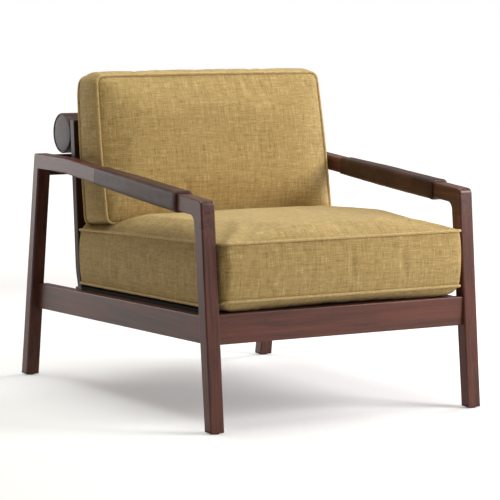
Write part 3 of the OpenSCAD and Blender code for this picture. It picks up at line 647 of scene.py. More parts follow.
class SideLines:
    """The slanting lines of a side frame, each a depth for a height, and the corner points of the arm."""

    def __init__(self):
        wood = settings()[0]
        low, high = box_of("front_leg_left")
        rear_high, arm_high = box_of("rear_leg_left")[1], box_of("arm_left")[1]
        self.x_out, self.x_in = -low[0], -high[0]
        self.foot = low[2]
        self.joint_front, self.joint_rear = high[2], rear_high[2]
        self.top_front, self.top_rear = wood.arm_height_front, arm_high[2]
        self.setback_front, self.setback_rear = wood.front_leg_setback, wood.rear_leg_setback
        self.y_front = low[1] - self.setback_front * self.foot / self.top_front
        self.y_rear = rear_high[1] + self.setback_rear * self.foot / self.top_rear
        self.depths_front = (wood.front_leg_depth_foot, wood.front_leg_depth_top)
        self.depths_rear = (wood.rear_leg_depth_foot, wood.rear_leg_depth_top)
        front = np.array([self.front(self.top_front), self.top_front])
        rear = np.array([self.rear(self.top_rear), self.top_rear])
        bend = rear - np.array([wood.arm_level_length, wood.arm_level_fall])
        self.slope = math.atan2(bend[1] - front[1], bend[0] - front[0])
        self.front_corner, self.rear_corner, self.bend = front, rear, bend

    def front(self, z):
        """Front face of the front leg."""
        return self.y_front + self.setback_front * z / self.top_front

    def front_back(self, z):
        """Rear face of the front leg."""
        a, b = self.depths_front
        return self.front(z) + a + (b - a) * z / self.top_front

    def rear(self, z):
        """Rear face of the rear leg."""
        return self.y_rear - self.setback_rear * z / self.top_rear

    def rear_front(self, z):
        """Front face of the rear leg."""
        a, b = self.depths_rear
        return self.rear(z) - (a + (b - a) * z / self.top_rear)

    def on_arm(self, along, rise):
        """Y and Z of points so far along the sloping arm from its front corner and so far above its top."""
        cos_s, sin_s = math.cos(self.slope), math.sin(self.slope)
        return (self.front_corner[0] + along * cos_s - rise * sin_s,
                self.front_corner[1] + along * sin_s + rise * cos_s)

    def spans(self):
        """The left and right side frame, each from its lowest to its highest x."""
        return {"left": (-self.x_out, -self.x_in), "right": (self.x_in, self.x_out)}


def crossing(a, b, c, d):
    """Point where the line a-b meets the line c-d."""
    a, b, c, d = (np.asarray(p, float) for p in (a, b, c, d))
    u, w = b - a, d - c
    k = ((c[0] - a[0]) * w[1] - (c[1] - a[1]) * w[0]) / (u[0] * w[1] - u[1] * w[0])
    return a + u * k


def post_line(z):
    """Rear face of a back post at a height: leaning above its bend, kicked forward below it."""
    wood = settings()[0]
    high = box_of("back_post_left")[1]
    z_bend = wood.post_kick_height
    bend_y = high[1] - (high[2] - z_bend) * math.tan(wood.post_lean)
    return bend_y + (z - z_bend) * math.tan(wood.post_lean if z > z_bend else wood.post_kick)


# ------------------------------------------------------------------ cushions


def square_to_rounded(a, b, half_a, half_b, radius):
    """Spreads a square of parameters over a rectangle with rounded corners.

    With m = max(|a|, |b|), the point (a, b) / m lies on the square's rim and maps to the rim of the rounded
    rectangle (a corner's two legs of length radius bend into a quarter circle); the result is m times that.
    """
    m = np.maximum(np.abs(a), np.abs(b))
    safe = np.where(m < 1e-9, 1.0, m)
    x, y = a / safe * half_a, b / safe * half_b
    dx, dy = np.abs(x) - (half_a - radius), np.abs(y) - (half_b - radius)
    corner = (dx > 0) & (dy > 0)
    on_side = np.abs(x) >= half_a - 1e-9
    t = np.where(on_side, dy, 2 * radius - dx) / (2 * radius) * (math.pi / 2)
    cx = np.sign(x) * (half_a - radius + radius * np.cos(t))
    cy = np.sign(y) * (half_b - radius + radius * np.sin(t))
    x, y = np.where(corner, cx, x), np.where(corner, cy, y)
    return x * m, y * m, m


def rim_distance(x, y, half_a, half_b, radius):
    """Distance inwards from the rim of a rounded rectangle."""
    qx, qy = np.abs(x) - (half_a - radius), np.abs(y) - (half_b - radius)
    outside = np.hypot(np.maximum(qx, 0), np.maximum(qy, 0))
    return -(outside + np.minimum(np.maximum(qx, qy), 0) - radius)


def shoulder(distance, reach, power=2.4):
    """Rises from 0 at the rim to 1 at reach along a superellipse, then stays level."""
    t = np.clip(distance / reach, 0, 1)
    return (1 - (1 - t) ** power) ** (1 / power)


def eased(t):
    """Smooth step from 0 at 0 to 1 at 1, level beyond both."""
    t = np.clip(t, 0, 1)
    return t * t * (3 - 2 * t)


def rim_order(rows, cols):
    """Vertex numbers of the rim of a rows by cols grid, running round it once."""
    first = np.arange(rows) * cols
    second = (rows - 1) * cols + np.arange(1, cols)
    third = np.arange(rows - 2, -1, -1) * cols + cols - 1
    fourth = np.arange(cols - 2, 0, -1)
    return np.concatenate([first, second, third, fourth])


def rim_normals(x, y):
    """Outward direction at each point of a grid's rim, square to the line through its two neighbours."""
    rim = rim_order(*x.shape)
    out = np.stack([x.ravel()[rim], y.ravel()[rim]], -1)
    ahead = np.roll(out, -1, axis=0) - np.roll(out, 1, axis=0)
    return unit_rows(np.stack([ahead[:, 1], -ahead[:, 0]], -1))


def boxed_cushion(name, low, high, levels, swell, outward, body, replaces):
    """A closed boxed cushion: a low panel, a high panel and a side panel between their rims.

    low and high are grids of points over the same parameters; the side panel blends between the rims with
    s in 0..1 and stands out by swell * sin(pi s) ** 0.7 along outward. Each panel has its own UV, in metres.
    """
    rows, cols = low.shape[:2]
    rim = rim_order(rows, cols)
    count = rows * cols
    low_rim, high_rim = low.reshape(-1, 3)[rim], high.reshape(-1, 3)[rim]
    s = np.linspace(0, 1, levels + 1)[1:-1]
    side = (low_rim[None] * (1 - s)[:, None, None] + high_rim[None] * s[:, None, None]
            + outward[None] * (swell * np.sin(math.pi * s) ** 0.7)[:, None, None])
    verts = np.concatenate([low.reshape(-1, 3), high.reshape(-1, 3), side.reshape(-1, 3)])
    n = len(rim)
    ring = np.concatenate([rim[None], 2 * count + np.arange((levels - 1) * n).reshape(levels - 1, n),
                           count + rim[None]])
    nxt = np.roll(ring, -1, axis=1)
    side_faces = np.stack([ring[:-1], nxt[:-1], nxt[1:], ring[1:]], axis=-1).reshape(-1, 4)
    low_faces = grid_quads(rows, cols)
    high_faces = grid_quads(rows, cols, start=count)[:, ::-1]
    faces = np.concatenate([low_faces, high_faces, side_faces])

    def panel_uv(points):
        du = np.linalg.norm(np.diff(points, axis=0), axis=-1)
        dv = np.linalg.norm(np.diff(points, axis=1), axis=-1)
        u = np.concatenate([np.zeros((1, cols)), np.cumsum(du, axis=0)])
        v = np.concatenate([np.zeros((rows, 1)), np.cumsum(dv, axis=1)], axis=1)
        u = u - u[rows // 2][None]
        v = v - v[:, cols // 2][:, None]
        return np.stack([u, v], axis=-1).reshape(-1, 2)

    low_uv, high_uv = panel_uv(low), panel_uv(high)
    around = running_length(high_rim)
    height = np.linspace(0, float(np.linalg.norm(high_rim - low_rim, axis=1).mean()), levels + 1)
    v, u = quad_values(height, around)
    side_uv = np.stack([u, v], -1).reshape(-1, 2)
    shift = np.array([0.31, 0.17])
    uv = np.concatenate([low_uv[low_faces.ravel()] + 3 * shift, high_uv[(high_faces - count).ravel()],
                         side_uv - shift])
    obj = make_piece(name, verts, faces, body, "cloth", uv=uv, replaces=replaces)
    pins = np.concatenate([rim, count + rim])
    return obj, pins, low_rim, high_rim


def cord_uv(length, radius):
    """UV in metres for each corner of a closed cord's quads, u along it and v round it."""
    u, v = quad_values(length, np.linspace(0, 2 * math.pi * radius, CORD_SIDES + 1))
    return np.stack([u, v], -1)[:, ::-1].reshape(-1, 2)


def piping_loops(name, loops, radius, up, body, replaces):
    """Round cords along closed rims, all in one piece."""
    verts, faces, uv, start = [], [], [], 0
    for loop in loops:
        v, f, length = cord_mesh(loop, radius, up)
        verts.append(v)
        faces.append(f + start)
        uv.append(cord_uv(length, radius))
        start += len(v)
    return make_piece(name, np.concatenate(verts), np.concatenate(faces), body,
                      "piping", uv=np.concatenate(uv), replaces=replaces)


def read_points(mesh):
    points = np.empty(len(mesh.vertices) * 3)
    mesh.vertices.foreach_get("co", points)
    return points.reshape(-1, 3)


FILLING_FRAMES = 20
CLOTH_SETTINGS = {
    "quality": 5, "mass": 0.35, "tension_stiffness": 22, "compression_stiffness": 22, "shear_stiffness": 12,
    "bending_stiffness": 1.2, "tension_damping": 12, "compression_damping": 12, "shear_damping": 12,
    "air_damping": 4, "use_pressure": True, "shrink_min": -0.006, "shrink_max": -0.006,
    "vertex_group_mass": "seams", "pin_stiffness": 40}


def fill_with_cloth(obj, pins, floor_height=None):
    """Inflates the cover with a cloth simulation whose seams are held, then caps how far it moved."""
    cushion = settings()[2]
    before = read_points(obj.data)
    group = obj.vertex_groups.new(name="seams")
    group.add([int(i) for i in pins], 1.0, "REPLACE")
    modifier = obj.modifiers.new("filling", "CLOTH")
    for key, value in CLOTH_SETTINGS.items():
        setattr(modifier.settings, key, value)
    modifier.settings.uniform_pressure_force = cushion.pressure
    modifier.settings.effector_weights.gravity = 0.0
    modifier.collision_settings.use_self_collision = False
    modifier.collision_settings.use_collision = False
    scene = bpy.context.scene
    modifier.point_cache.frame_start = scene.frame_start = 1
    modifier.point_cache.frame_end = scene.frame_end = FILLING_FRAMES
    for moment in range(1, FILLING_FRAMES + 1):
        scene.frame_set(moment)
    evaluated = obj.evaluated_get(bpy.context.evaluated_depsgraph_get())
    after = read_points(evaluated.data)
    obj.modifiers.remove(modifier)
    scene.frame_set(1)
    if len(after) != len(before):
        raise RuntimeError(f"{obj.name}: the simulated cover lost its shape")
    move = after - before
    length = np.linalg.norm(move, axis=1, keepdims=True)
    after = before + move * np.minimum(1.0, cushion.move_cap / np.maximum(length, 1e-9))
    if floor_height is not None:
        after[:, 2] = np.maximum(after[:, 2], floor_height(after[:, 1]))
    obj.data.vertices.foreach_set("co", after.ravel())
    obj.data.update()


def refine(obj):
    """One level of subdivision."""
    modifier = obj.modifiers.new("smooth_cover", "SUBSURF")
    modifier.levels = 1
    modifier.render_levels = 1


def seam_puckers(around, distance, amount):
    """Small gathers next to a seam: waves round the cushion that fade within about a thumb's width of it."""
    wave = (np.sin(around * 2 * math.pi / 0.031) + 0.7 * np.sin(around * 2 * math.pi / 0.019 + 1.3)
            + 0.5 * np.sin(around * 2 * math.pi / 0.047 + 0.4))
    return amount * wave * np.exp(-(distance / 0.011)) * np.clip(distance / 0.004, 0, 1)


def soft_hills(x, y, amount):
    """Slow unevenness of a filled panel, a sum of a few long waves."""
    return amount * (np.sin(x * 11.0 + 0.7) * np.sin(y * 9.0 + 1.9) + 0.6 * np.sin(x * 23.0 + y * 17.0 + 0.3)
                     + 0.4 * np.sin(y * 31.0 - x * 13.0 + 2.1))


def deck_line(y):
    """Height of the seat deck at a depth."""
    wood = settings()[0]
    low, high = box_of("front_rail")
    return high[2] - (np.asarray(y) - low[1]) * math.tan(wood.seat_fall)


# ------------------------------------------------------------------ operators


class ARMCHAIR_OT_side_frames(bpy.types.Operator):
    """Builds both side frames: front legs, rear legs and the arms that run on into them"""

    bl_idname = "armchair.side_frames"
    bl_label = "Side frames"

    def execute(self, context):
        wood = settings()[0]
        line = SideLines()
        jf, jr, foot = line.joint_front, line.joint_rear, line.foot
        toe, rear_radius, soft_bend = 1.6 * MM, 6 * MM, 0.26
        drop = np.array([0.0, wood.arm_depth])
        inner = crossing([line.front_back(0.0), 0.0], [line.front_back(1.0), 1.0],
                         line.front_corner - drop, line.bend - drop)

        def leg(ahead, behind, joint):
            corners = [[ahead(foot), foot], [behind(foot), foot], [behind(joint), joint],
                       [ahead(joint), joint]]
            return rounded_outline(corners, [toe, toe, 0, 0], steps=3)[0]

        front_leg = leg(line.front, line.front_back, jf)
        rear_leg = leg(line.rear_front, line.rear, jr)
        arm, kept = rounded_outline(
            [[line.front(jf), jf], [line.front_back(jf), jf], inner, line.bend - drop,
             [line.rear_front(jr), jr], [line.rear(jr), jr], line.rear_corner, line.bend, line.front_corner],
            [0, 0, wood.inner_radius, soft_bend, 0, 0, rear_radius, soft_bend, wood.corner_radius], steps=10)
        arm_open = np.flatnonzero(kept & np.roll(kept, -1))
        leg_open = [len(front_leg) - 2]
        shapes = {"front_leg": (front_leg, leg_open, "wood_z"), "rear_leg": (rear_leg, leg_open, "wood_z"),
                  "arm": (arm, arm_open, "wood_y")}
        for side, (x_low, x_high) in line.spans().items():
            for part, (outline, gaps, finish) in shapes.items():
                plate = plate_mesh(outline, x_low, x_high, wood.edge_radius, open_edges=gaps, steps=5)
                wood_piece(f"{part}_{side}", plate, finish)
        return {"FINISHED"}


class ARMCHAIR_OT_rails(bpy.types.Operator):
    """Builds the rails between the side frames and along them"""

    bl_idname = "armchair.rails"
    bl_label = "Rails"

    def execute(self, context):
        wood = settings()[0]
        line = SideLines()
        radius = wood.rail_edge_radius
        for side in ("left", "right"):
            low, high = box_of(f"side_rail_{side}")
            fall = math.tan(wood.seat_fall)
            depth = (high[2] - low[2]) - (high[1] - low[1]) * fall
            top = high[2] + low[1] * fall

            def point(y_line, below):
                start, end = [y_line(0.0), 0.0], [y_line(1.0), 1.0]
                return crossing([0.0, top - below], [1.0, top - below - fall], start, end)

            outline = [point(line.front_back, depth), point(line.rear_front, depth),
                       point(line.rear_front, 0.0), point(line.front_back, 0.0)]
            plate = plate_mesh(np.array(outline), low[0], high[0], radius, open_edges=(1, 3))
            wood_piece(f"side_rail_{side}", plate, "wood_y")
        for node in ("front_rail", "upper_back_rail", "rear_seat_rail"):
            wood_piece(node, bar_mesh(*box_of(node), radius), "wood_x")
        return {"FINISHED"}


class ARMCHAIR_OT_back_frame(bpy.types.Operator):
    """Builds the two back posts and the slats between them"""

    bl_idname = "armchair.back_frame"
    bl_label = "Back frame"

    def execute(self, context):
        wood = settings()[0]
        top_radius, soft_bend = 4 * MM, 0.15
        for side in ("left", "right"):
            low, high = box_of(f"back_post_{side}")
            depth = np.array([wood.post_thickness, 0.0])
            foot, bend, top = (np.array([post_line(z), z]) for z in (low[2], wood.post_kick_height, high[2]))
            outline, _ = rounded_outline([foot - depth, foot, bend, top, top - depth, bend - depth],
                                         [0, 0, soft_bend, top_radius, top_radius, soft_bend], steps=8)
            plate = plate_mesh(outline, low[0], high[0], wood.rail_edge_radius, open_edges=(0,))
            # Painted shade: the posts take the darkened copy of the stained wood.
            wood_piece(f"back_post_{side}", plate, "wood_painted_shade")
        low, high = box_of("back_slats")
        tilt = wood.post_lean
        thick, wide = wood.back_slat_thickness, wood.back_slat_width
        half_rise = (wide * math.cos(tilt) + thick * math.sin(tilt)) / 2
        centres = np.linspace(low[2] + half_rise, high[2] - half_rise, wood.back_slat_count)
        verts, faces, start = [], [], 0
        across = np.array([math.cos(tilt), -math.sin(tilt)])
        upward = np.array([math.sin(tilt), math.cos(tilt)])
        corners = np.array([[-thick, -wide], [thick, -wide], [thick, wide], [-thick, wide]]) / 2
        for z in centres:
            centre = np.array([post_line(z) - wood.post_thickness / 2, z])
            flat = centre + corners[:, :1] * across + corners[:, 1:] * upward
            outline, _ = rounded_outline(flat, [wood.rail_edge_radius] * 4, steps=4)
            v, f = plate_mesh(outline, low[0], high[0], 0.8 * MM, steps=2)
            verts.append(v)
            faces.extend([[i + start for i in face] for face in f])
            start += len(v)
        wood_piece("back_slats", (np.concatenate(verts), faces), "wood_x")
        return {"FINISHED"}


class ARMCHAIR_OT_arm_wraps(bpy.types.Operator):
    """Builds the padded leather wraps of the arms with their stitched hems"""

    bl_idname = "armchair.arm_wraps"
    bl_label = "Arm wraps"

    def execute(self, context):
        wood, hide = settings()[:2]
        line = SideLines()
        low, high = box_of("arm_wrap_left")
        length = (high[1] - low[1] - 2 * hide.wrap_thickness * math.sin(line.slope)) / math.cos(line.slope)
        length = min(length, (high[1] - low[1]) / math.cos(line.slope) - 4 * MM)
        deep = wood.arm_depth * math.cos(line.slope)
        half = (line.x_out - line.x_in) / 2
        t, rise, hem = hide.wrap_thickness, hide.hem_rise, hide.hem_length
        groove = 1.3 * MM
        along = np.array([0, 0.15, 0.7, 1.6, 2.8, 4.2, 4.9, 5.3, 5.7, 6.4, 8.2, hem / MM - 0.4, hem / MM,
                          hem / MM + 0.5, hem / MM + 2.0, hem / MM + 8.0]) * MM
        stand = np.array([-0.4 * MM, 0.42 * t, 0.78 * t, 0.97 * t, t + rise, t + rise, t + rise * 0.6,
                          t + rise - groove, t + rise * 0.6, t + rise, t + rise * 0.9, t + rise * 0.3,
                          t - groove * 0.8, t - 0.3 * MM, t, t])
        middle = np.linspace(hem + 30 * MM, length - hem - 30 * MM, 24)
        tail = length - np.array([hem / MM + 8, 7.0, 5.6, 5.0, 4.4, 3.2, 1.6, 0.6, 0.1, 0]) * MM
        tail_stand = np.array([t, t, t - 0.2 * MM, t - groove, t - 0.2 * MM, t, 0.9 * t, 0.66 * t, 0.3 * t,
                               -0.4 * MM])
        s = np.concatenate([along, middle, tail])
        thin = 1 - hide.wrap_taper * np.clip((s - 0.55 * length) / (0.45 * length), 0, 1)
        g = np.concatenate([stand, np.full(len(middle), t), tail_stand])
        g = g * np.where(s > 0.5 * length, thin, 1.0)
        r0 = wood.edge_radius
        arc = np.linspace(0, math.pi / 2, 7)
        centres = np.array([[half - r0, -r0], [-(half - r0), -r0], [-(half - r0), -(deep - r0)],
                            [half - r0, -(deep - r0)]])
        turns = [arc, arc + math.pi / 2, arc + math.pi, arc + 1.5 * math.pi]
        corner = np.concatenate([np.repeat(c[None], len(a), 0) for c, a in zip(centres, turns)])
        normal = np.concatenate([np.stack([np.cos(a), np.sin(a)], -1) for a in turns])
        base = corner + normal * r0
        ahead = np.roll(base, -1, axis=0) - base
        k = np.linspace(0, 1, 8)[:-1]
        used = (np.linalg.norm(ahead, axis=1) > 6 * MM)[:, None] | (k == 0)
        base = (base[:, None] + ahead[:, None] * k[:, None])[used]
        normal = np.repeat(normal[:, None], len(k), axis=1)[used]
        around = np.concatenate([[0], np.cumsum(np.linalg.norm(np.diff(base, axis=0), axis=1))])
        waves = 0.25 * MM * np.sin(around[None] * 210 + s[:, None] * 37) * np.sin(s[:, None] * 61 + 0.8)
        inside = (np.minimum(s, length - s) > 14 * MM)[:, None]
        stand_off = g[:, None] + np.where(inside, waves, 0.0)
        x = base[None, :, 0] + normal[None, :, 0] * stand_off
        h = base[None, :, 1] + normal[None, :, 1] * stand_off
        y, z = line.on_arm((hide.wrap_start + s)[:, None], h)
        middle_x = (line.x_out + line.x_in) / 2
        for side, sign in (("left", -1.0), ("right", 1.0)):
            verts = np.stack([middle_x * sign + x, y, z], axis=-1).reshape(-1, 3)
            faces = grid_quads(len(s), x.shape[1], wrap_cols=True)[:, ::-1]
            obj = make_piece(f"leather_arm_wrap_{side}", verts, faces, FRAME_BODY, "leather",
                             replaces=[f"arm_wrap_{side}", f"arm_padding_{side}"])
            self.stitches(side, base, normal, around, middle_x * sign, line, hide, length)
        return {"FINISHED"}

    def stitches(self, side, base, normal, around, middle_x, line, hide, length):
        """Two rows of short stitches, one round each end: small ellipsoids along the sleeve's section."""
        total = around[-1] + np.linalg.norm(base[0] - base[-1])
        count = int(total / hide.stitch_pitch)
        at = (np.arange(count) + 0.5) * total / count
        closed = np.append(around, total)
        bx, bh, nx, nh = (np.interp(at, closed, np.append(v, v[0])) for v in (*base.T, *normal.T))
        rows_s = np.array([5.3 * MM, length - 5.0 * MM])
        rear_lift = (hide.wrap_thickness - 1.0 * MM) * (1 - hide.wrap_taper)
        lift = np.array([hide.wrap_thickness + hide.hem_rise - 1.0 * MM, rear_lift])
        u = np.linspace(0, math.pi, 5)[1:-1]
        v = np.linspace(0, 2 * math.pi, 6, endpoint=False)
        half_long, half_thick = 1.7 * MM, 0.45 * MM
        ring = np.stack([np.repeat(np.cos(u), len(v)) * half_long,
                         (np.sin(u)[:, None] * np.cos(v)[None]).ravel() * half_thick,
                         (np.sin(u)[:, None] * np.sin(v)[None]).ravel() * half_thick], axis=-1)
        shape = np.concatenate([ring, [[half_long, 0, 0], [-half_long, 0, 0]]])
        rings, sides = len(u), len(v)
        quads = grid_quads(rings, sides, wrap_cols=True)[:, ::-1]
        i = np.arange(sides)
        following, last_ring = (i + 1) % sides, (rings - 1) * sides
        first_tip = np.stack([following, i, np.full(sides, rings * sides)], axis=-1)
        last_tip = np.stack([last_ring + i, last_ring + following, np.full(sides, rings * sides + 1)], -1)
        tips = np.concatenate([first_tip, last_tip])
        verts, faces, start = [], [], 0
        for s, up in zip(rows_s, lift):
            run = np.stack([-nh, nx], axis=-1)
            out = np.stack([nx, nh], axis=-1)
            centre = np.stack([bx + nx * up, bh + nh * up], axis=-1)
            flat = (centre[:, None] + run[:, None] * shape[None, :, :1] + out[:, None] * shape[None, :, 1:2])
            sy = hide.wrap_start + s + np.broadcast_to(shape[None, :, 2], flat.shape[:2])
            x = middle_x + flat[..., 0]
            verts.append(np.stack([x, *line.on_arm(sy, flat[..., 1])], -1).reshape(-1, 3))
            shift = start + np.arange(count)[:, None, None] * len(shape)
            faces += (quads + shift).reshape(-1, 4).tolist() + (tips + shift).reshape(-1, 3).tolist()
            start += count * len(shape)
        make_piece(f"thread_arm_wrap_{side}", np.concatenate(verts), faces, FRAME_BODY,
                   "thread")


class ARMCHAIR_OT_back_roll(bpy.types.Operator):
    """Builds the leather covered roll at the top of the back with its two round ends"""

    bl_idname = "armchair.back_roll"
    bl_label = "Back roll"

    def execute(self, context):
        hide = settings()[1]
        low, high = box_of("roll_leather_cover")
        end = -box_of("roll_end_left")[0][0]
        centre = (low + high) / 2
        radius = (high[2] - low[2]) / 2
        edge = np.linspace(0, math.pi / 2, 6)
        rim, seam, plain = 3.2 * MM, 7.5 * MM, 14 * MM
        x = np.concatenate([[end - 2.2 * MM], end - rim + rim * np.cos(edge),
                            end - seam + np.array([2.0, 0.7, 0.0, -0.7, -2.0]) * MM])
        r = np.concatenate([[radius - rim - 1.6 * MM], radius - rim + rim * np.sin(edge),
                            radius + np.array([0.0, -0.4, -1.1, -0.4, 0.0]) * MM])
        middle = np.linspace(end - plain, plain - end, 60)
        swell = 0.35 * MM * np.sin(middle * 41.0 + 0.5) * np.sin(middle * 13.0)
        xs = np.concatenate([x, middle, -x[::-1]])
        rs = np.concatenate([r, radius + swell - 0.35 * MM, r[::-1]])
        verts, faces = self.turned(xs, rs, centre)
        obj = make_piece("leather_roll_cover", verts, faces, FRAME_BODY, "leather",
                         replaces=["roll_leather_cover"])
        disc_r = radius - rim - 0.6 * MM
        reach = np.concatenate([np.linspace(1, 0.9, 5), np.linspace(0.8, 0.08, 9)])
        height = (end - 2.6 * MM) + hide.roll_dome * (1 - reach ** 2) ** 0.5 + 0.6 * MM * (reach < 0.99)
        heights = np.concatenate([[end - 4.5 * MM], height])
        radii = np.concatenate([[disc_r], disc_r * reach])
        for side, sign in (("left", -1.0), ("right", 1.0)):
            verts, faces = self.turned(sign * heights, radii, centre)
            last = len(verts) - ROLL_SIDES
            faces = faces.tolist() + [list(range(len(verts) - 1, last - 1, -1)), list(range(ROLL_SIDES))]
            if sign > 0:
                faces = [f[::-1] for f in faces]
            make_piece(f"leather_roll_end_{side}", verts, faces, FRAME_BODY, "leather",
                       replaces=[f"roll_end_{side}"], sharp_angle=LEATHER_CREASE)
        return {"FINISHED"}

    def turned(self, x, radii, centre):
        """A surface of revolution: a circle of each radius at each x, round the roll's centre line."""
        turn = np.linspace(0, 2 * math.pi, ROLL_SIDES, endpoint=False)
        verts = np.stack([np.broadcast_to(x[:, None], (len(x), ROLL_SIDES)),
                          centre[1] + radii[:, None] * np.cos(turn)[None],
                          centre[2] + radii[:, None] * np.sin(turn)[None]], axis=-1)
        return verts.reshape(-1, 3), grid_quads(len(x), ROLL_SIDES, wrap_cols=True)


class ARMCHAIR_OT_hidden_parts(bpy.types.Operator):
    """Gives the fasteners, the platform cloth, the foot glides and the hidden woodwork their finishes"""

    bl_idname = "armchair.hidden_parts"
    bl_label = "Hidden parts"

    def execute(self, context):
        # The seat slats take the dark stained wood instead of beech and the platform cloth is near black:
        # painted shade for the gap under the seat cushion.
        finishes = {"beech": ("corner_blocks", "roll_tube", "leg_dowels", "side_rail_dowels",
                              "cross_rail_dowels", "post_dowels"),
                    "wood_x": ("seat_slats",), "wood_y": ("slat_cleat_left", "slat_cleat_right"),
                    "steel": ("roll_bolts", "cleat_screws", "slat_screws", "block_screws", "glide_nails"),
                    "cloth_painted_shade": ("platform_cloth",), "nylon": ("foot_glides",)}
        for finish, nodes in finishes.items():
            for node in nodes:
                dress_node(node, finish)
        return {"FINISHED"}


class ARMCHAIR_OT_seat_cushion(bpy.types.Operator):
    """Builds the boxed seat cushion and its piping"""

    bl_idname = "armchair.seat_cushion"
    bl_label = "Seat cushion"

    def execute(self, context):
        cushion = settings()[2]
        low, high = box_of("seat_cushion_cover")
        half_a = (high[0] - low[0]) / 2 + 1 * MM
        y0, y1 = low[1] + 6 * MM, high[1] + 9 * MM
        half_b, y_mid = (y1 - y0) / 2, (y0 + y1) / 2
        radius, top_reach, low_reach = 13 * MM, 62 * MM, 34 * MM
        top_rear, bottom_front = cushion.seat_top_rear, cushion.seat_bottom_front
        rows, cols = 80, 92
        a, b = np.meshgrid(np.linspace(-1, 1, rows), np.linspace(-1, 1, cols), indexing="ij")
        x, v, _ = square_to_rounded(a, b, half_a, half_b, radius)
        y = y_mid + v
        d = rim_distance(x, v, half_a, half_b, radius)
        back = (y - y0) / (y1 - y0)
        around = np.arctan2(v, x) * 0.34
        seam_top = top_rear + (cushion.seat_top_front - top_rear) * (1 - back) ** 0.8
        seam_top = seam_top + 2 * MM * np.clip(1 - back / 0.05, 0, 1)
        crown = cushion.seat_crown + cushion.seat_crown_extra * np.sin(math.pi * np.clip(back, 0, 1)) ** 0.5
        # The crown sinks towards the two front corners and lies flat under the back cushion.
        corner = eased(1 - (half_a - np.abs(x)) / 0.20) * eased(1 - (y - y0) / 0.30)
        crown = crown * (1 - 0.62 * corner)
        pressed = 1 / (1 + np.exp(-(back - 0.80) / 0.022))
        rise = crown * (1 - pressed) + (cushion.seat_pressed_height - seam_top) * pressed
        z_top = seam_top + rise * shoulder(d, top_reach) + seam_puckers(around, d, PUCKER)
        z_top = z_top + soft_hills(x, y, 0.9 * MM) * shoulder(d, HILL_REACH)
        # The underside rests on the deck and rises to its seam, most of all at the front.
        deck = deck_line(y) + 1.6 * MM
        front = np.clip((y0 + 0.10 - y) / 0.10, 0, 1)
        seam_low = deck + cushion.seat_bottom_gap + (bottom_front - cushion.seat_bottom_gap) * front ** 1.6
        z_low = deck + (seam_low - deck) * (1 - shoulder(d, low_reach, 2.0))
        z_low = z_low + 4.5 * MM * front * np.clip(1 - d / 0.10, 0, 1)
        rear = np.clip((y - (y1 - 0.03)) / 0.03, 0, 1)
        panel_low = np.stack([x, y - 7 * MM * rear, z_low], -1)
        panel_top = np.stack([x, y - 4 * MM * rear, z_top], -1)
        normal = rim_normals(x, v)
        outward = np.concatenate([normal, np.zeros((len(normal), 1))], axis=1)
        swell = outward * (1 - SIDE_FLATNESS * outward[:, :1] ** 2)
        obj, pins, low_rim, high_rim = boxed_cushion(
            "cloth_seat_cushion", panel_low, panel_top, 18, cushion.boxing_swell, swell, SEAT_BODY,
            ["seat_cushion_cover", "seat_cushion_core"])
        fill_with_cloth(obj, pins, lambda depth: deck_line(depth) + 1.2 * MM)
        refine(obj)
        push = outward * PIPING_PUSH
        piping_loops("cloth_seat_piping", [high_rim + push, low_rim + push], cushion.piping_radius,
                     (0.0, 0.0, 1.0), SEAT_BODY, ["seat_cushion_piping"])
        return {"FINISHED"}


class ARMCHAIR_OT_back_cushion(bpy.types.Operator):
    """Builds the boxed back cushion and its piping"""

    bl_idname = "armchair.back_cushion"
    bl_label = "Back cushion"

    def execute(self, context):
        cushion = settings()[2]
        low, high = box_of("back_cushion_cover")
        half_a = (high[0] - low[0]) / 2 - 1 * MM
        bottom, top = cushion.back_bottom, high[2] + 1 * MM
        half_b, z_mid = (top - bottom) / 2, (top + bottom) / 2
        radius, front_reach, rear_reach = 16 * MM, 150 * MM, 80 * MM
        rows, cols = 80, 46
        a, b = np.meshgrid(np.linspace(-1, 1, rows), np.linspace(-1, 1, cols), indexing="ij")
        x, v, _ = square_to_rounded(a, b, half_a, half_b, radius)
        z = z_mid + v
        d = rim_distance(x, v, half_a, half_b, radius)
        up = (z - bottom) / (top - bottom)
        narrow = 1 - 0.018 * np.clip((up - 0.45) / 0.55, 0, 1) ** 1.5
        around = np.arctan2(v, x) * 0.30
        x = x * narrow
        front_y = cushion.back_front_foot + (cushion.back_front_head - cushion.back_front_foot) * up
        rear_y = cushion.back_rear_foot + (cushion.back_rear_head - cushion.back_rear_foot) * up
        rear_y = rear_y - 16 * MM * np.clip((up - 0.86) / 0.14, 0, 1) ** 2
        crown = cushion.back_crown * shoulder(d, front_reach, 2.0)
        rear_crown = cushion.back_rear_crown * shoulder(d, rear_reach, 2.0)
        fold = seam_puckers(around, d, PUCKER) + soft_hills(x, z, 0.8 * MM) * shoulder(d, HILL_REACH)
        droop = 2 * MM * (x / half_a) ** 2 * up
        rear_drop = 14 * MM * (1 - up) + 4 * MM * up
        panel_rear = np.stack([x, rear_y + rear_crown, z - droop - rear_drop], -1)
        panel_front = np.stack([x, front_y - crown - fold, z - droop], -1)
        normal = rim_normals(x, v)
        outward = np.stack([normal[:, 0], np.zeros(len(normal)), normal[:, 1]], -1)
        lower = np.clip(-normal[:, 1], 0, 1)[:, None]
        swell = outward * (1.0 + 0.5 * np.clip(normal[:, 1], 0, 1)[:, None] - 1.25 * lower)
        obj, pins, low_rim, high_rim = boxed_cushion(
            "cloth_back_cushion", panel_rear, panel_front, 16, cushion.boxing_swell, swell, BACK_BODY,
            ["back_cushion_cover", "back_cushion_core"])
        fill_with_cloth(obj, pins)
        refine(obj)
        push = outward * PIPING_PUSH
        piping_loops("cloth_back_piping", [high_rim + push, low_rim + push], cushion.piping_radius,
                     (0.0, -1.0, 0.0), BACK_BODY, ["back_cushion_piping"])
        return {"FINISHED"}


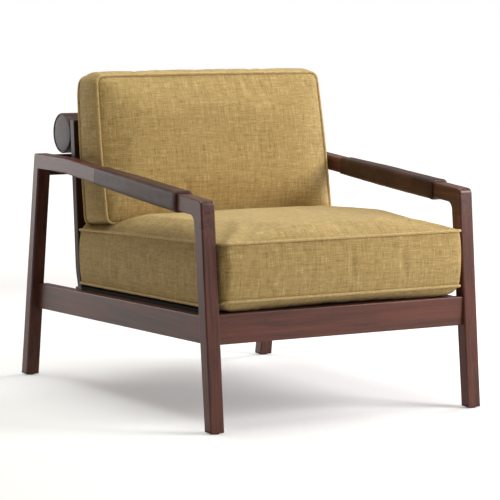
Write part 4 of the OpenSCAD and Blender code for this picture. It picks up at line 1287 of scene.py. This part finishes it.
def aimed(place, target):
    """Matrix of a light or camera at a place that looks at a target."""
    place, target = Vector(place), Vector(target)
    return Matrix.Translation(place) @ (target - place).to_track_quat("-Z", "Y").to_matrix().to_4x4()


class ARMCHAIR_OT_stage(bpy.types.Operator):
    """Sets the floor, the lights and the camera"""

    bl_idname = "armchair.stage"
    bl_label = "Stage"

    def execute(self, context):
        stage = settings()[3]
        scene = context.scene
        mesh = bpy.data.meshes.new("stage_floor")
        corners = [(x * FLOOR_HALF, y * FLOOR_HALF, 0) for x, y in ((-1, -1), (1, -1), (1, 1), (-1, 1))]
        mesh.from_pydata(corners, [], [(0, 1, 2, 3)])
        mesh.materials.append(self.paint(stage))
        floor = bpy.data.objects.new("stage_floor", mesh)
        scene.collection.objects.link(floor)
        scene.world = self.studio(stage)
        for name, place, size, power, colour in (
                ("key_light", (1.75, -1.75, 1.45), (1.1, 1.1), stage.key_power, (1.0, 1.0, 1.0)),
                ("left_panel", (-1.6, 3.8, 1.0), (2.2, 2.2), stage.left_power, (1.0, 1.0, 1.0)),
                ("rear_panel", (3.1, 0.8, 1.5), (1.4, 1.4), stage.rear_power, (1.0, 1.0, 1.0)),
                ("top_panel", (-0.4, 0.15, 3.2), (2.2, 2.2), stage.top_power, (0.95, 1.0, 0.96))):
            data = bpy.data.lights.new(name, "AREA")
            data.shape = "RECTANGLE"
            data.size, data.size_y = size
            data.energy = power
            data.color = colour
            light = bpy.data.objects.new(name, data)
            light.matrix_world = aimed(place, LIGHT_TARGET)
            scene.collection.objects.link(light)
        az, el = stage.camera_azimuth, stage.camera_elevation
        toward = Vector((math.sin(az) * math.cos(el), -math.cos(az) * math.cos(el), math.sin(el)))
        data = bpy.data.cameras.new("camera")
        data.lens = stage.lens
        data.sensor_width = 36.0
        data.clip_start = 0.1
        data.clip_end = 60.0
        camera = bpy.data.objects.new("camera", data)
        scene.collection.objects.link(camera)
        target = Vector(stage.look_at)
        camera.matrix_world = aimed(target + toward * stage.camera_distance, target)
        scene.camera = camera
        scene.view_settings.view_transform = "Standard"
        scene.view_settings.look = "None"
        scene.view_settings.exposure = 0.0
        return {"FINISHED"}

    def studio(self, stage):
        """White to the camera, dim and tinted as light on the chair, brighter and white in reflections."""
        g = Graph("stage_world", world=True)
        path = g.add("ShaderNodeLightPath")
        camera, glossy = path.outputs["Is Camera Ray"], path.outputs["Is Glossy Ray"]
        strength = g.mix(camera, g.mix(glossy, stage.sky_strength, stage.sky_reflection), 1.0)
        white = (1.0, 1.0, 1.0, 1.0)
        g.set(Strength=strength,
              Color=g.mix(g.math("MAXIMUM", camera, glossy), (*stage.sky_colour, 1.0), white, colour=True))
        return g.block

    def paint(self, stage):
        """Pale floor: a glow that only the camera sees keeps it near white; shadows fall on the rest."""
        g = Graph("stage_paint")
        g.set(Base_Color=(*stage.floor_colour, 1.0), Roughness=0.9, Specular_IOR_Level=0.0)
        path = g.add("ShaderNodeLightPath")
        reach = g.add("ShaderNodeVectorMath", operation="LENGTH")
        g.link(g.place(), reach.inputs[0])
        far = g.math("MULTIPLY", g.levels(reach.outputs["Value"], 2.3, 4.2), 1.0 - stage.floor_glow)
        glow = g.math("ADD", far, stage.floor_glow)
        g.set(Emission_Color=(1.0, 0.985, 0.99, 1.0),
              Emission_Strength=g.math("MULTIPLY", path.outputs["Is Camera Ray"], glow))
        return g.block


class ARMCHAIR_PT_panel(bpy.types.Panel):
    """Sizes, colours and build buttons of the armchair"""

    bl_label = "Lounge Armchair"
    bl_idname = "ARMCHAIR_PT_panel"
    bl_space_type = "VIEW_3D"
    bl_region_type = "UI"
    bl_category = "Armchair"

    def draw(self, context):
        layout = self.layout
        for group in settings():
            column = layout.column(align=True)
            for key in group.__annotations__:
                column.prop(group, key)
        for operator in OPERATORS:
            layout.operator(operator.bl_idname)


GROUPS = (("chair_frame", FrameSettings), ("chair_leather", LeatherSettings),
          ("chair_cushion", CushionSettings), ("chair_stage", StageSettings))
OPERATORS = (ARMCHAIR_OT_side_frames, ARMCHAIR_OT_rails, ARMCHAIR_OT_back_frame, ARMCHAIR_OT_arm_wraps,
             ARMCHAIR_OT_back_roll, ARMCHAIR_OT_hidden_parts, ARMCHAIR_OT_seat_cushion,
             ARMCHAIR_OT_back_cushion, ARMCHAIR_OT_stage)


def register():
    for name, group in GROUPS:
        bpy.utils.register_class(group)
        setattr(bpy.types.Scene, name, PointerProperty(type=group))
    for operator in OPERATORS:
        bpy.utils.register_class(operator)
    bpy.utils.register_class(ARMCHAIR_PT_panel)


def unregister():
    bpy.utils.unregister_class(ARMCHAIR_PT_panel)
    for operator in reversed(OPERATORS):
        bpy.utils.unregister_class(operator)
    for name, group in reversed(GROUPS):
        delattr(bpy.types.Scene, name)
        bpy.utils.unregister_class(group)


def main():
    """Registers the add-on and runs each operator once, in the order of OPERATORS."""
    register()
    for operator in OPERATORS:
        area, name = operator.bl_idname.split(".")
        getattr(getattr(bpy.ops, area), name)()


if __name__ == "__main__":
    main()
